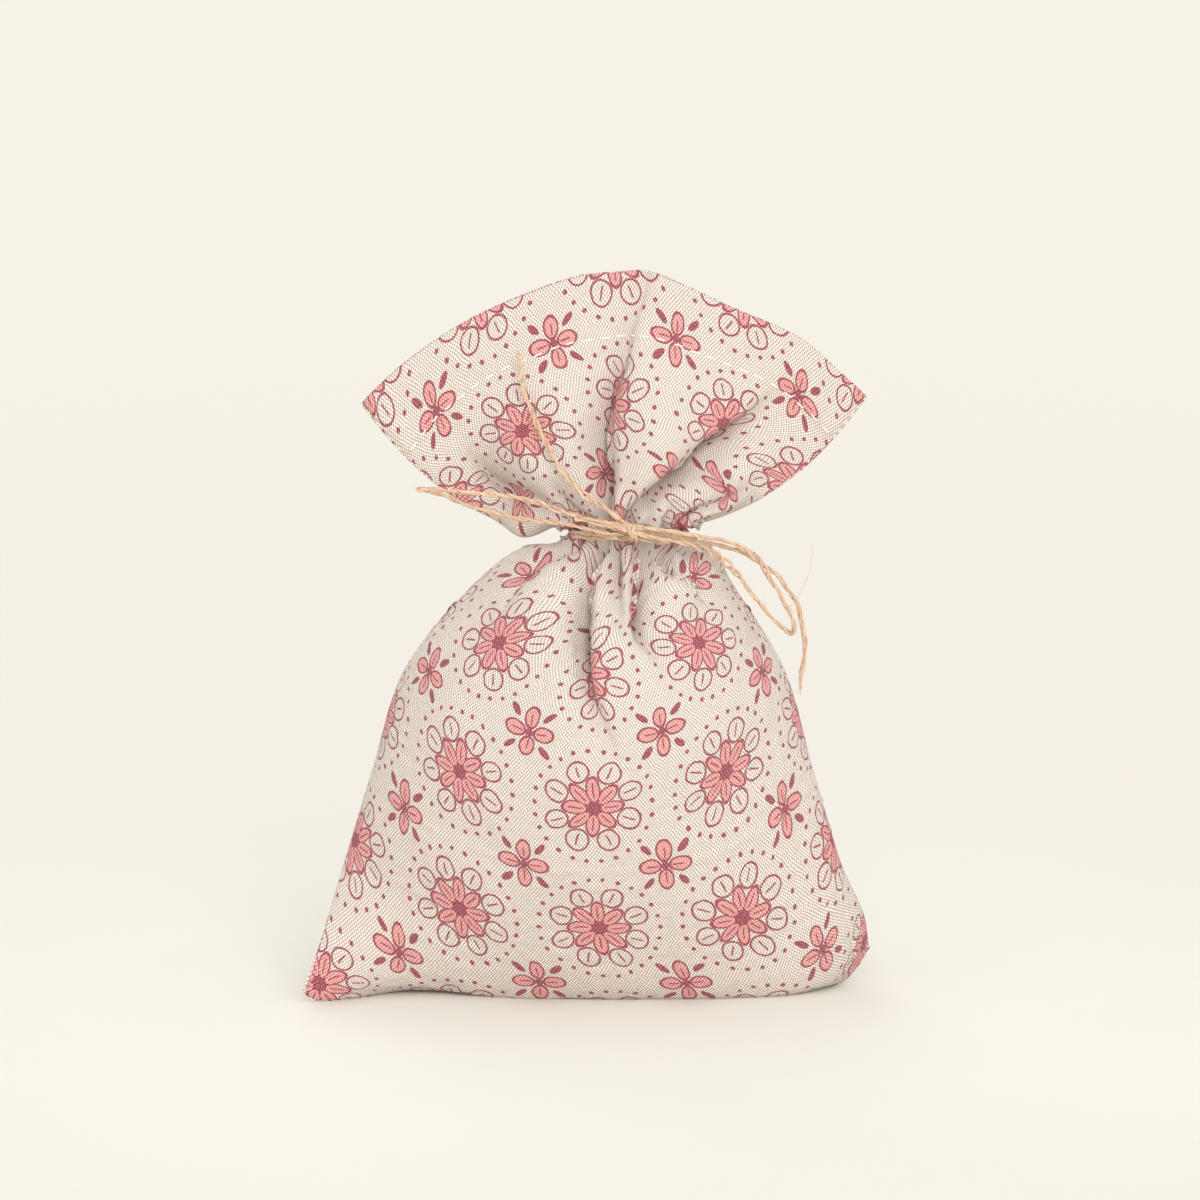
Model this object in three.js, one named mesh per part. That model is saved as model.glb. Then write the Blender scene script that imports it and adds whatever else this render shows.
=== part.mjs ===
// A small stuffed fabric pouch that stands on its base. Two cloth panels are sewn together
// at the sides and along the bottom. Jute twine is wound round the neck and tied in a bow,
// and the cloth above the neck spreads out as a flat ruffle that can nod.
//
// Millimetres, +Z up. X runs from the left seam to the right seam and Y away from the viewer.
// The origin is on the table, under the middle of the pouch.

import * as THREE from "three";
import { mergeVertices } from "three/addons/utils/BufferGeometryUtils.js";

// Cloth
const clothThickness = 0.7;
const seamGap = 0.3;
const hemDepth = 12.7;
const hemLayers = 3;
const deepestFold = 4.2;
const tallestWave = 2.6;

// Body of the pouch, from the table up to the tie
const tieHeight = 103.5;
const baseLeft = -62.6;
const baseRight = 62.6;
const bellyHalfDepth = 32.2;
const earLift = 0.9;
const baseSettle = 0.4;
const earForward = 17;
const cornerLift = 6.6;
const cornerBack = 4;

// Neck, where the twine gathers the cloth
const neckX = 8.8;
const neckHalfWidth = 14.3;
const neckHalfDepth = 9.5;
const collarHeight = 3.7;
const nodRoom = 1.6;

// Ruffle, from the tie up to the mouth
const mouthRadius = 56;
const leftTipAngle = 65.5;
const leftTipExtra = 8.5;
const rightTipAngle = 61.5;
const rightTipExtra = 3.5;
const spreadAngle = 90;
const spreadReach = 21.5;
const ruffleHalfDepth = 8;
const ruffleFoot = 2;
const ruffleGap = 0.6;

// Filling
const fillingGap = 0.8;
const fillingBottom = 0.1;
const fillingTop = 0.88;

// Twine
const twineDiameter = 1;
const turnGap = 0.5;
const turns = 2;
const twineGap = 0.3;
const knotHalfWidth = 3.2;
const knotHalfDepth = 2;
const knotHalfHeight = 2.4;
const knotLeft = 0.3;
const knotRise = 0.4;

// The free stretches of the twine, from the knot outwards and back
const leftLoopRoute = [
  [5.2, -13.3, 105], [1.6, -13.2, 105.9], [-1.1, -13, 106.7], [-5.6, -12.7, 108],
  [-10.9, -12.3, 109.9], [-16.4, -11.9, 111.2], [-21.3, -11.6, 111.6], [-25.8, -11.3, 112.1],
  [-31.4, -11.1, 112.5], [-35.3, -10.6, 112.8], [-37, -9, 112.6], [-35.5, -7.3, 111.9],
  [-31.4, -6.8, 110.8], [-28.1, -6.9, 109.4], [-24.4, -7.3, 108.1], [-19.9, -7.9, 107.1],
  [-15.4, -8.7, 106], [-10, -9.8, 105.6], [-5, -11, 105.1], [-0.1, -12.4, 104.2],
  [5, -13.3, 103.1]];
const rightLoopRoute = [
  [11.9, -13.4, 104.6], [15.3, -13.5, 104.2], [18.4, -13.5, 103.8], [23.6, -13.3, 102.7],
  [28.4, -12.9, 101.9], [31.6, -12.6, 100.9], [34.2, -12.4, 99.5], [36.6, -12.2, 97.8],
  [38, -12.1, 95.9], [39.6, -11.9, 92.9], [41.5, -11.7, 90.2], [43, -11.4, 87.1],
  [44.1, -11, 85], [44.8, -10.3, 82.8], [44.7, -9, 81.1], [43.9, -7.8, 80.7],
  [42.8, -7.2, 81.4], [40.1, -7, 83.9], [38, -7.2, 86.5], [35.3, -7.8, 89.7],
  [32.7, -9, 93.6], [28.9, -11, 97.4], [26.3, -12.2, 99.1], [23.9, -13.1, 100.3],
  [21, -13.6, 101.1], [17.9, -13.7, 101.8], [15.1, -13.7, 102.3], [11.8, -13.6, 103]];
const rightEndRoute = [
  [12.2, -11.8, 103.6], [14.9, -11.7, 103], [18.4, -11.6, 102.4], [23.6, -11.2, 101.3],
  [28.4, -10.8, 100.4], [31.1, -10.6, 99.6], [33.8, -10.5, 98.6], [36.9, -10.4, 97],
  [39, -10.4, 95.4], [41.2, -10.3, 93.6], [43.3, -10.1, 90.7], [45.2, -9.9, 88],
  [46, -9.7, 85.3], [46.8, -9.4, 81.3], [47.2, -9.2, 78.6], [47, -8.9, 74.5],
  [46.5, -8.7, 71.7], [46.3, -8.5, 69]];
const upperEndRoute = [
  [6.7, -13.2, 106.4], [5.4, -13.2, 107.5], [4.1, -13.1, 108.5], [2.5, -12.9, 109.5],
  [-0.1, -12.4, 111], [-2.2, -11.9, 112.8], [-4.7, -11.3, 115.3], [-6.4, -10.6, 117.7],
  [-8.5, -9.7, 121.6], [-10.7, -8.8, 125.6], [-12.7, -7.9, 130.3], [-14, -7.4, 133.4],
  [-14.5, -6.8, 137], [-15.2, -6.2, 141.6]];

// How finely the shapes are divided
const panelColumns = 26;
const panelRows = 20;
const ruffleColumns = 26;
const ruffleRows = 10;
const fillingRows = 15;
const twineSides = 8;
const turnSteps = 24;
const turnSides = 6;
const twineStep = 2.6;
const knotSides = 14;
const knotRings = 10;
const curveDivisions = 400;
const mergeDistance = 1e-4;

const cloth = new THREE.MeshStandardMaterial({ color: 0xddd1c3, roughness: 0.95, metalness: 0 });
const stuffing = new THREE.MeshStandardMaterial({ color: 0x8f83a6, roughness: 1, metalness: 0 });
const jute = new THREE.MeshStandardMaterial({ color: 0xd6b184, roughness: 0.9, metalness: 0 });

// The outline of the body at stations along the cloth, from the bottom seam to the tie.
// Each list gives [share of the way up the cloth, share of the size that it belongs to].
// Over the last of them the neck stands straight up as a collar inside the twine.
const collarStart = 0.95;
const collarShare = 1 - collarHeight / tieHeight;
const seamHeights = [[0, 0], [0.08, 0.095], [0.2, 0.237], [0.4, 0.47], [0.6, 0.69],
  [0.8, 0.874], [0.9, 0.952], [collarStart, collarShare], [1, 1]];
const frontHeights = [[0, 0], [0.1, 0.001], [0.2, 0.098], [0.4, 0.316], [0.6, 0.546],
  [0.8, 0.773], [0.9, 0.89], [collarStart, collarShare], [1, 1]];
const leftFlare = [[0, 1], [0.08, 0.972], [0.2, 0.906], [0.4, 0.777], [0.6, 0.628],
  [0.8, 0.366], [0.9, 0.18], [collarStart, 0], [1, 0]];
const rightFlare = [[0, 1], [0.08, 0.975], [0.2, 0.883], [0.4, 0.71], [0.6, 0.53],
  [0.8, 0.226], [0.9, 0.11], [collarStart, 0], [1, 0]];
const bellyShares = [[0, 0], [0.1, 0.38], [0.2, 0.61], [0.4, 0.885], [0.6, 1],
  [0.8, 0.84], [0.9, 0.6]];
const ruffleDepths = [[0, 0], [0.13, 1], [0.3, 0.7], [0.55, 0.22], [1, 0.05]];

// Shares of the cloth's height: the part that lies on the table, the part that the two
// bottom corners bend, and the gathers, which fill the neck below and above the tie.
const flatShare = 0.1;
const flatFade = 0.1;
const cornerReach = 0.26;
const gatherStart = 0.9;
const gatherEnd = 0.12;
const gatherFade = 0.25;

// Where the ear and the lifted corner start, as shares of half the width.
const earStart = 0.5;
const cornerStart = 0.78;

// How sharply the panels meet at the side seams: a power of the cosine, which falls to 1.
const lowSharpness = 1.9;
const sharpShare = 0.5;

// Folds that run down from the tie: where across the panel, how wide, how deep as a share
// of the deepest one, and how far down the cloth they reach.
const frontFolds = [
  { at: -0.62, width: 0.13, depth: 0.38, reach: 0.2 },
  { at: -0.36, width: 0.14, depth: 0.48, reach: 0.26 },
  { at: -0.06, width: 0.15, depth: 1, reach: 0.5 },
  { at: 0.24, width: 0.14, depth: 0.71, reach: 0.34 },
  { at: 0.52, width: 0.14, depth: 0.43, reach: 0.26 },
];
const backFolds = [
  { at: -0.5, width: 0.16, depth: 0.48, reach: 0.28 },
  { at: -0.12, width: 0.15, depth: 0.71, reach: 0.36 },
  { at: 0.2, width: 0.15, depth: 0.81, reach: 0.42 },
  { at: 0.56, width: 0.15, depth: 0.43, reach: 0.24 },
];
const foldLimit = 0.75;

// Waves of the ruffle, shared by both layers. The rise is a share of the tallest wave, and a
// positive one comes towards the viewer.
const ruffleWaves = [
  { at: -0.85, width: 0.22, rise: 0.46, from: 0.1, to: 0.9 },
  { at: -0.5, width: 0.24, rise: -0.92, from: 0.05, to: 0.85 },
  { at: -0.24, width: 0.2, rise: 0.54, from: 0.05, to: 0.8 },
  { at: -0.04, width: 0.12, rise: -1, from: 0, to: 0.9 },
  { at: 0.16, width: 0.22, rise: 0.92, from: 0.05, to: 1 },
  { at: 0.45, width: 0.2, rise: -0.69, from: 0.05, to: 0.85 },
  { at: 0.75, width: 0.24, rise: 0.46, from: 0.1, to: 0.9 },
];
const waveFadeIn = 0.2;
const waveFadeOut = 0.25;
const waveLoss = 0.85;
const hemFade = 0.06;

function clamp01(value) {
  return Math.min(1, Math.max(0, value));
}

function smooth(value) {
  const t = clamp01(value);
  return t * t * (3 - 2 * t);
}

function mix(from, to, share) {
  return from + (to - from) * share;
}

// A rounded bump, 1 at the middle and 0 at one width away.
function bump(offset, width) {
  const t = Math.abs(offset) / width;
  return t < 1 ? Math.cos((t * Math.PI) / 2) ** 2 : 0;
}

// A smooth curve through the stations, by cubic pieces.
function through(stations, at) {
  const last = stations.length - 1;
  let i = 0;
  while (i < last - 1 && at > stations[i + 1][0]) {
    i += 1;
  }
  const slope = (a, b) => (stations[b][1] - stations[a][1]) / (stations[b][0] - stations[a][0]);
  const span = stations[i + 1][0] - stations[i][0];
  const t = (at - stations[i][0]) / span;
  const leave = slope(Math.max(i - 1, 0), i + 1) * span;
  const arrive = slope(i, Math.min(i + 2, last)) * span;
  const a = stations[i][1];
  const b = stations[i + 1][1];
  const t2 = t * t;
  const t3 = t2 * t;
  return a * (2 * t3 - 3 * t2 + 1) + leave * (t3 - 2 * t2 + t)
    + b * (3 * t2 - 2 * t3) + arrive * (t3 - t2);
}

// Half the depth of the body at a share of the way up the cloth.
function bodyHalfDepth(up) {
  const neckShare = neckHalfDepth / bellyHalfDepth;
  return bellyHalfDepth * through([...bellyShares, [collarStart, neckShare], [1, neckShare]], up);
}

// A point of the body. side is -1 for the front panel and 1 for the back panel, across runs
// from -1 at the left seam to 1 at the right seam, up from 0 at the bottom seam to 1 at the
// tie. inset moves the point inwards from the outer face, and gap away from the seam plane.
function bodyPoint(side, across, up, inset, gap, folds) {
  const angle = (across * Math.PI) / 2;
  const x = Math.sin(angle);
  const sharpness = mix(lowSharpness, 1, smooth(up / sharpShare));
  const bulge = Math.max(Math.cos(angle), 0) ** sharpness;
  const rise = Math.max(1 - x * x, 0);

  const left = mix(neckX - neckHalfWidth, baseLeft, through(leftFlare, up));
  const right = mix(neckX + neckHalfWidth, baseRight, through(rightFlare, up));
  const halfWidth = (right - left) / 2;
  const place = x * (1 - inset / halfWidth);
  const onTable = 1 - smooth((up - flatShare) / flatFade);
  const depth = Math.max(bodyHalfDepth(up) - inset * (1 - onTable), 0);

  const low = 1 - smooth(up / cornerReach);
  const ear = smooth((-place - earStart) / (1 - earStart)) * low;
  const corner = smooth((place - cornerStart) / (1 - cornerStart)) * low;
  let fold = 0;
  for (const one of folds) {
    const reach = smooth((up - (1 - one.reach)) / one.reach);
    fold += deepestFold * one.depth * reach * bump(across - one.at, one.width);
  }
  const out = gap + depth * bulge - Math.min(fold, depth * bulge * foldLimit);

  const seamHeight = mix(earLift, tieHeight, through(seamHeights, up));
  const frontHeight = mix(0, tieHeight, through(frontHeights, up));
  const height = mix(seamHeight, frontHeight, rise);
  return new THREE.Vector3(
    (left + right) / 2 + halfWidth * place,
    -earForward * ear + cornerBack * corner + side * out,
    Math.max(height - baseSettle * low, 0) + cornerLift * corner + inset * onTable,
  );
}

// A point of the ruffle. up runs from 0 at the tie to 1 at the mouth, out is the distance
// from the plane between the two layers, and open how far the layer swells away from it.
function rufflePoint(side, across, up, out, open) {
  const angle = (across * Math.PI) / 2;
  const tipAngle = across < 0 ? leftTipAngle : rightTipAngle;
  const tipExtra = across < 0 ? leftTipExtra : rightTipExtra;
  const fan = THREE.MathUtils.degToRad(across * tipAngle);
  const radius = mouthRadius + tipExtra * across ** 4;
  const lean = THREE.MathUtils.degToRad(across * spreadAngle);
  const footHalfWidth = neckHalfWidth - clothThickness - ruffleGap;

  const foot = new THREE.Vector2(neckX + footHalfWidth * Math.sin(angle), tieHeight + ruffleGap);
  const bend = new THREE.Vector2(foot.x + spreadReach * Math.sin(lean),
    foot.y + spreadReach * Math.cos(lean));
  const mouth = new THREE.Vector2(neckX + radius * Math.sin(fan),
    tieHeight + radius * Math.cos(fan));
  const path = new THREE.QuadraticBezierCurve(foot, bend, mouth).getPoint(up);

  const swell = open * Math.max(Math.cos(angle), 0);
  const depth = mix(ruffleFoot, ruffleHalfDepth, through(ruffleDepths, up));
  let wave = 0;
  for (const one of ruffleWaves) {
    const start = smooth((up - one.from) / waveFadeIn);
    const end = 1 - waveLoss * smooth((up - one.to + waveFadeOut) / waveFadeOut);
    wave += tallestWave * one.rise * start * end * bump(across - one.at, one.width);
  }
  return new THREE.Vector3(path.x, -wave + side * (out + depth * swell), path.y);
}

// A closed body between two grids of points, columns across and rows up.
function closedSheet(outer, inner, columns, rows, side) {
  const positions = [];
  const faces = [];
  for (const face of [outer, inner]) {
    for (let j = 0; j <= rows; j += 1) {
      for (let i = 0; i <= columns; i += 1) {
        positions.push(...face((2 * i) / columns - 1, j / rows).toArray());
      }
    }
  }
  const layer = (columns + 1) * (rows + 1);
  const index = (k, i, j) => k * layer + j * (columns + 1) + i;
  const quad = (a, b, c, d) => {
    if (side < 0) {
      faces.push(a, b, c, a, c, d);
    } else {
      faces.push(a, c, b, a, d, c);
    }
  };
  for (let j = 0; j < rows; j += 1) {
    for (let i = 0; i < columns; i += 1) {
      quad(index(0, i, j), index(0, i + 1, j), index(0, i + 1, j + 1), index(0, i, j + 1));
      quad(index(1, i, j), index(1, i, j + 1), index(1, i + 1, j + 1), index(1, i + 1, j));
    }
    quad(index(0, 0, j), index(0, 0, j + 1), index(1, 0, j + 1), index(1, 0, j));
    quad(index(0, columns, j), index(1, columns, j),
      index(1, columns, j + 1), index(0, columns, j + 1));
  }
  for (let i = 0; i < columns; i += 1) {
    quad(index(0, i, 0), index(1, i, 0), index(1, i + 1, 0), index(0, i + 1, 0));
    quad(index(0, i, rows), index(0, i + 1, rows), index(1, i + 1, rows), index(1, i, rows));
  }
  return bodyFrom(positions, faces);
}

function bodyFrom(positions, faces) {
  const geometry = new THREE.BufferGeometry();
  geometry.setAttribute("position", new THREE.Float32BufferAttribute(positions, 3));
  geometry.setIndex(faces);
  return geometry;
}

// Inside the tie the gathered cloth fills the neck up to the plane between the panels. Its
// top is dished, which leaves the foot of the ruffle room to nod.
function bodyPanel(side, folds) {
  const outer = (across, up) => bodyPoint(side, across, up, 0, seamGap / 2, folds);
  const inner = (across, up) => {
    const gathered = smooth((up - gatherStart) / (collarStart - gatherStart));
    const thickness = mix(clothThickness, neckHalfDepth, gathered);
    const point = bodyPoint(side, across, up, thickness, seamGap / 2, folds);
    point.z -= nodRoom * gathered;
    return point;
  };
  return closedSheet(outer, inner, panelColumns, panelRows, side);
}

// The gathers fill the foot of the ruffle too, and the turned-in hem makes the edge of the
// mouth three layers thick.
function rufflePanel(side) {
  const hemShare = hemDepth / mouthRadius;
  const layers = (up) => 1 + (hemLayers - 1) * smooth((up - 1 + hemShare) / hemFade);
  const open = (up) => smooth((up - gatherEnd) / gatherFade);
  const outer = (across, up) => rufflePoint(side, across, up,
    seamGap / 2 + clothThickness * layers(up), 1);
  const inner = (across, up) => rufflePoint(side, across, up, seamGap / 2, open(up));
  return closedSheet(outer, inner, ruffleColumns, ruffleRows, side);
}

// The stuffing fills the body and stays clear of the cloth. Its front and back are split
// along the same diagonals, so that they don't cross where they come close at the seams.
function fillingBody() {
  const positions = [];
  const faces = [];
  const inset = clothThickness + fillingGap;
  const ring = 2 * panelColumns;
  for (let j = 0; j <= fillingRows; j += 1) {
    const up = mix(fillingBottom, fillingTop, j / fillingRows);
    for (let i = 0; i < ring; i += 1) {
      const front = i < panelColumns;
      const across = front ? (2 * i) / panelColumns - 1 : 3 - (2 * i) / panelColumns;
      const side = front ? -1 : 1;
      const folds = front ? frontFolds : backFolds;
      positions.push(...bodyPoint(side, across, up, inset, 0, folds).toArray());
    }
  }
  for (let j = 0; j < fillingRows; j += 1) {
    for (let i = 0; i < ring; i += 1) {
      const a = j * ring + i;
      const b = j * ring + ((i + 1) % ring);
      if (i < panelColumns) {
        faces.push(a, b, b + ring, a, b + ring, a + ring);
      } else {
        faces.push(a, b, a + ring, b, b + ring, a + ring);
      }
    }
  }
  for (let i = 0; i < panelColumns; i += 1) {
    const back = (ring - i) % ring;
    const top = fillingRows * ring;
    faces.push(i, back, ring - i - 1, i, ring - i - 1, i + 1);
    faces.push(top + i, top + ring - i - 1, top + back, top + i, top + i + 1, top + ring - i - 1);
  }
  return bodyFrom(positions, faces);
}

// A tube along a smooth curve through the points.
function twineTube(points, sides, steps) {
  const section = new THREE.Shape();
  const radius = twineDiameter / 2;
  for (let i = 0; i < sides; i += 1) {
    const angle = (2 * Math.PI * (i + 0.5)) / sides;
    const x = radius * Math.cos(angle);
    const y = radius * Math.sin(angle);
    if (i === 0) {
      section.moveTo(x, y);
    } else {
      section.lineTo(x, y);
    }
  }
  section.closePath();
  const path = new THREE.CatmullRomCurve3(points.map((point) => new THREE.Vector3(...point)));
  path.arcLengthDivisions = curveDivisions;
  const geometry = new THREE.ExtrudeGeometry(section, { steps, extrudePath: path });
  geometry.deleteAttribute("normal");
  geometry.deleteAttribute("uv");
  return mergeVertices(geometry, mergeDistance);
}

const pitch = twineDiameter + turnGap;
const windingHalfDepth = neckHalfDepth + twineGap + twineDiameter / 2;
const windingHalfWidth = neckHalfWidth + twineGap + twineDiameter / 2;
const windingMiddle = tieHeight - collarHeight / 2;
const knot = new THREE.Vector3(neckX - knotLeft,
  -(windingHalfDepth + twineDiameter / 2 + twineGap + knotHalfDepth), tieHeight + knotRise);

// The winding leaves the right of the knot, goes round the neck twice, passes behind the
// knot once and comes back to the left of it. Each end runs straight up to the knot. These
// points are measured from the knot, and the opening is in degrees.
const windingLeaves = [[2.2, 0.9, -1.8], [3.4, 0.9, -1.9], [5.6, 1.5, -2.5], [8.4, 3.1, -3.2]];
const windingReturns = [[-5.4, 2.1, -1.3], [-3.4, 1, -1.7], [-2.2, 0.9, -1.7]];
const windingOpening = 86;
const neighbourDistance = 10;

function windingPoints() {
  const open = THREE.MathUtils.degToRad(windingOpening);
  const sweep = 2 * Math.PI * turns - open;
  const count = Math.round((sweep * turnSteps) / (2 * Math.PI));
  const points = [];
  for (let i = 0; i <= count; i += 1) {
    const angle = (open - Math.PI) / 2 + (sweep * i) / count;
    const climb = ((i / count - 0.5) * sweep * pitch) / (2 * Math.PI);
    points.push([neckX + windingHalfWidth * Math.cos(angle),
      windingHalfDepth * Math.sin(angle), windingMiddle + climb]);
  }
  const byKnot = ([x, y, z]) => [knot.x + x, knot.y + y, knot.z + z];
  return [...windingLeaves.map(byKnot), ...points, ...windingReturns.map(byKnot)];
}

// The least gap between turns that lie next to each other.
function leastGap(points, diameter, apart) {
  const curve = new THREE.CatmullRomCurve3(points.map((point) => new THREE.Vector3(...point)));
  const places = curve.getSpacedPoints(curveDivisions);
  const skip = Math.ceil((apart / curve.getLength()) * curveDivisions);
  let least = Infinity;
  for (let i = 0; i < places.length; i += 1) {
    for (let j = i + skip; j < places.length; j += 1) {
      least = Math.min(least, places[i].distanceTo(places[j]));
    }
  }
  return least - diameter;
}

function freeTwine(route) {
  let length = 0;
  for (let i = 1; i < route.length; i += 1) {
    length += new THREE.Vector3(...route[i]).distanceTo(new THREE.Vector3(...route[i - 1]));
  }
  return twineTube(route, twineSides, Math.round(length / twineStep));
}

function knotBody() {
  const geometry = new THREE.SphereGeometry(1, knotSides, knotRings);
  geometry.rotateZ(Math.PI / 2);
  geometry.scale(knotHalfWidth, knotHalfDepth, knotHalfHeight);
  geometry.deleteAttribute("normal");
  geometry.deleteAttribute("uv");
  return mergeVertices(geometry, mergeDistance);
}

const pouch = new THREE.Group();

function add(name, geometry, material, parent = pouch) {
  const mesh = new THREE.Mesh(geometry, material);
  mesh.name = name;
  parent.add(mesh);
  return mesh;
}

add("front_panel", bodyPanel(-1, frontFolds), cloth);
add("back_panel", bodyPanel(1, backFolds), cloth);
add("front_ruffle", rufflePanel(-1), cloth);
add("back_ruffle", rufflePanel(1), cloth);
add("filling", fillingBody(), stuffing);
const winding = windingPoints();
const windingGap = leastGap(winding, twineDiameter, neighbourDistance);
console.log("least gap of neck_twine", windingGap.toFixed(2), "mm");
add("neck_twine", twineTube(winding, turnSides, turns * turnSteps), jute);
add("bow_knot", knotBody(), jute).position.copy(knot);
add("bow_loop_left", freeTwine(leftLoopRoute), jute);
add("bow_loop_right", freeTwine(rightLoopRoute), jute);
add("bow_end_right", freeTwine(rightEndRoute), jute);
add("bow_end_up", freeTwine(upperEndRoute), jute);

export default pouch;
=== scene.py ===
# The looks of a small stuffed pouch of printed cloth, tied at the neck with jute twine.
# Everything is in metres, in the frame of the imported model: X runs from the left seam to the
# right seam, Y away from the viewer and Z up. The origin is on the table under the pouch.
import math

import bpy
import numpy as np
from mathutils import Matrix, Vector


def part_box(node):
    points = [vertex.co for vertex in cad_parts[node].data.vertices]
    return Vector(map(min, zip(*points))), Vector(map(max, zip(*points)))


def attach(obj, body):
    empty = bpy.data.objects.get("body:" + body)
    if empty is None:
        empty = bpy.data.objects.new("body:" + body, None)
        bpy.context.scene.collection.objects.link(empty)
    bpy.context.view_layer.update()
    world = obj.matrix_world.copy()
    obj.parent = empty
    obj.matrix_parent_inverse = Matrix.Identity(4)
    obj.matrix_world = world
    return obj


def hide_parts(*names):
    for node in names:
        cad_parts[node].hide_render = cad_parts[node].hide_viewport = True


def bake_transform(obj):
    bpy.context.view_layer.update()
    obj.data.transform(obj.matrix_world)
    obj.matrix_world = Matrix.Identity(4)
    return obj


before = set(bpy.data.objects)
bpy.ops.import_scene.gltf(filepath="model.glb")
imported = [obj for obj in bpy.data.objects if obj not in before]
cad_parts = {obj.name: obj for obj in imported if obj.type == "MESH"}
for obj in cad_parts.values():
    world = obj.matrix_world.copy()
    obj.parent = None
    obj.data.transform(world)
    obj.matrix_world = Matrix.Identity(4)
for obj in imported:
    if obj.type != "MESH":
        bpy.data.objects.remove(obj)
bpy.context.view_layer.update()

MM = 0.001

# The view of the photograph
VIEW_DISTANCE = 1.0
VIEW_ELEVATION = math.radians(8)
VIEW_TARGET = (0.0025, 0, 0.0869)
VIEW_WIDTH = 0.264

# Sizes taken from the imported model
PANEL_LOW, PANEL_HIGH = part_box("front_panel")
TIE_HEIGHT = PANEL_HIGH.z
BASE_LEFT = PANEL_LOW.x
BASE_RIGHT = PANEL_HIGH.x
NECK_X = 0.0088
NECK_HALF_WIDTH = 0.0143
NECK_HALF_DEPTH = 0.0095
BELLY_HALF_DEPTH = 0.0322
COLLAR_HEIGHT = 0.0037
EAR_LIFT = 0.0009
BASE_SETTLE = 0.0004
EAR_FORWARD = 0.017
CORNER_LIFT = 0.0074
EAR_TIP_LIFT = 0.0022
CORNER_BACK = 0.004
LEFT_TIP_ANGLE = 65.5
RIGHT_TIP_ANGLE = 61.5
LEFT_SPREAD_ANGLE = 100
RIGHT_SPREAD_ANGLE = 77
SPREAD_REACH = 0.0225

# The cloth, cut flat
CLOTH_WIDTH = 0.130
BODY_CLOTH = 0.128
RUFFLE_CLOTH = 0.058
CLOTH_THICKNESS = 0.0006
HEM_DEPTH = 0.0127
HEM_THICKNESS = 0.0015
SEAM_EDGE = 0.0022

# The twine
TWINE_DIAMETER = 0.001
TURN_PITCH = 0.00098
TURNS = 2
TWINE_GAP = 0.0003
KNOT = (0.0085, -0.0131, 0.1039)


def smooth(value):
    t = np.clip(value, 0, 1)
    return t * t * (3 - 2 * t)


def mix(low, high, share):
    return low + (high - low) * share


# Camera

def make_camera():
    data = bpy.data.cameras.new("camera")
    data.sensor_width = 36
    data.lens = data.sensor_width * VIEW_DISTANCE / VIEW_WIDTH
    data.clip_start = 0.05
    data.clip_end = 20
    camera = bpy.data.objects.new("camera", data)
    camera.location = (
        VIEW_TARGET[0],
        VIEW_TARGET[1] - VIEW_DISTANCE * math.cos(VIEW_ELEVATION),
        VIEW_TARGET[2] + VIEW_DISTANCE * math.sin(VIEW_ELEVATION),
    )
    camera.rotation_euler = (math.pi / 2 - VIEW_ELEVATION, 0, 0)
    bpy.context.scene.collection.objects.link(camera)
    bpy.context.scene.camera = camera


# Meshes

def make_mesh(name, vertices, faces, uv=None):
    """A smooth-shaded mesh object. uv holds one pair for each vertex."""
    mesh = bpy.data.meshes.new(name)
    mesh.from_pydata(np.asarray(vertices).tolist(), [], faces)
    mesh.polygons.foreach_set("use_smooth", [True] * len(mesh.polygons))
    if uv is not None:
        corners = np.zeros(len(mesh.loops), int)
        mesh.loops.foreach_get("vertex_index", corners)
        layer = mesh.uv_layers.new(name="flat")
        layer.data.foreach_set("uv", np.asarray(uv, float)[corners].ravel())
    piece = bpy.data.objects.new(name, mesh)
    bpy.context.scene.collection.objects.link(piece)
    return piece


def grid_faces(index, turned=False):
    """The faces between the vertices of a grid, given by number, or the same turned over."""
    quads = np.stack([index[:-1, :-1], index[:-1, 1:], index[1:, 1:], index[1:, :-1]], -1)
    quads = quads.reshape(-1, 4)
    return quads[:, ::-1] if turned else quads


class Parts:
    """Vertices, faces and uv pairs gathered from several shapes."""

    def __init__(self):
        self.vertices, self.faces, self.uv = [], [], []
        self.count = 0

    def add(self, vertices, faces, uv):
        self.vertices.append(vertices.reshape(-1, 3))
        self.uv.append(uv.reshape(-1, 2))
        self.faces += [[i + self.count for i in face] for face in faces]
        self.count += len(self.vertices[-1])

    def build(self, name):
        return make_mesh(name, np.concatenate(self.vertices), self.faces,
                         np.concatenate(self.uv))


# Twine

LEFT_LOOP = (
    (0.0052, -0.0133, 0.105), (0.0016, -0.0132, 0.1059), (-0.0011, -0.013, 0.1067),
    (-0.0056, -0.0127, 0.108), (-0.0109, -0.0123, 0.1099), (-0.0164, -0.0119, 0.1112),
    (-0.0213, -0.0116, 0.1116), (-0.0258, -0.0114, 0.1121), (-0.0314, -0.0113, 0.1125),
    (-0.0348, -0.01128, 0.1127), (-0.03636, -0.0106, 0.1126), (-0.037, -0.00905, 0.1124),
    (-0.03636, -0.0075, 0.1121), (-0.0348, -0.00685, 0.1118), (-0.0314, -0.0066, 0.1108),
    (-0.0281, -0.0067, 0.1094), (-0.0244, -0.0072, 0.1081),
    (-0.0199, -0.0079, 0.1071), (-0.0154, -0.0087, 0.106), (-0.01, -0.0098, 0.1056),
    (-0.005, -0.011, 0.1051), (-0.0001, -0.0124, 0.1042), (0.005, -0.0133, 0.1031),
)
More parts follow.
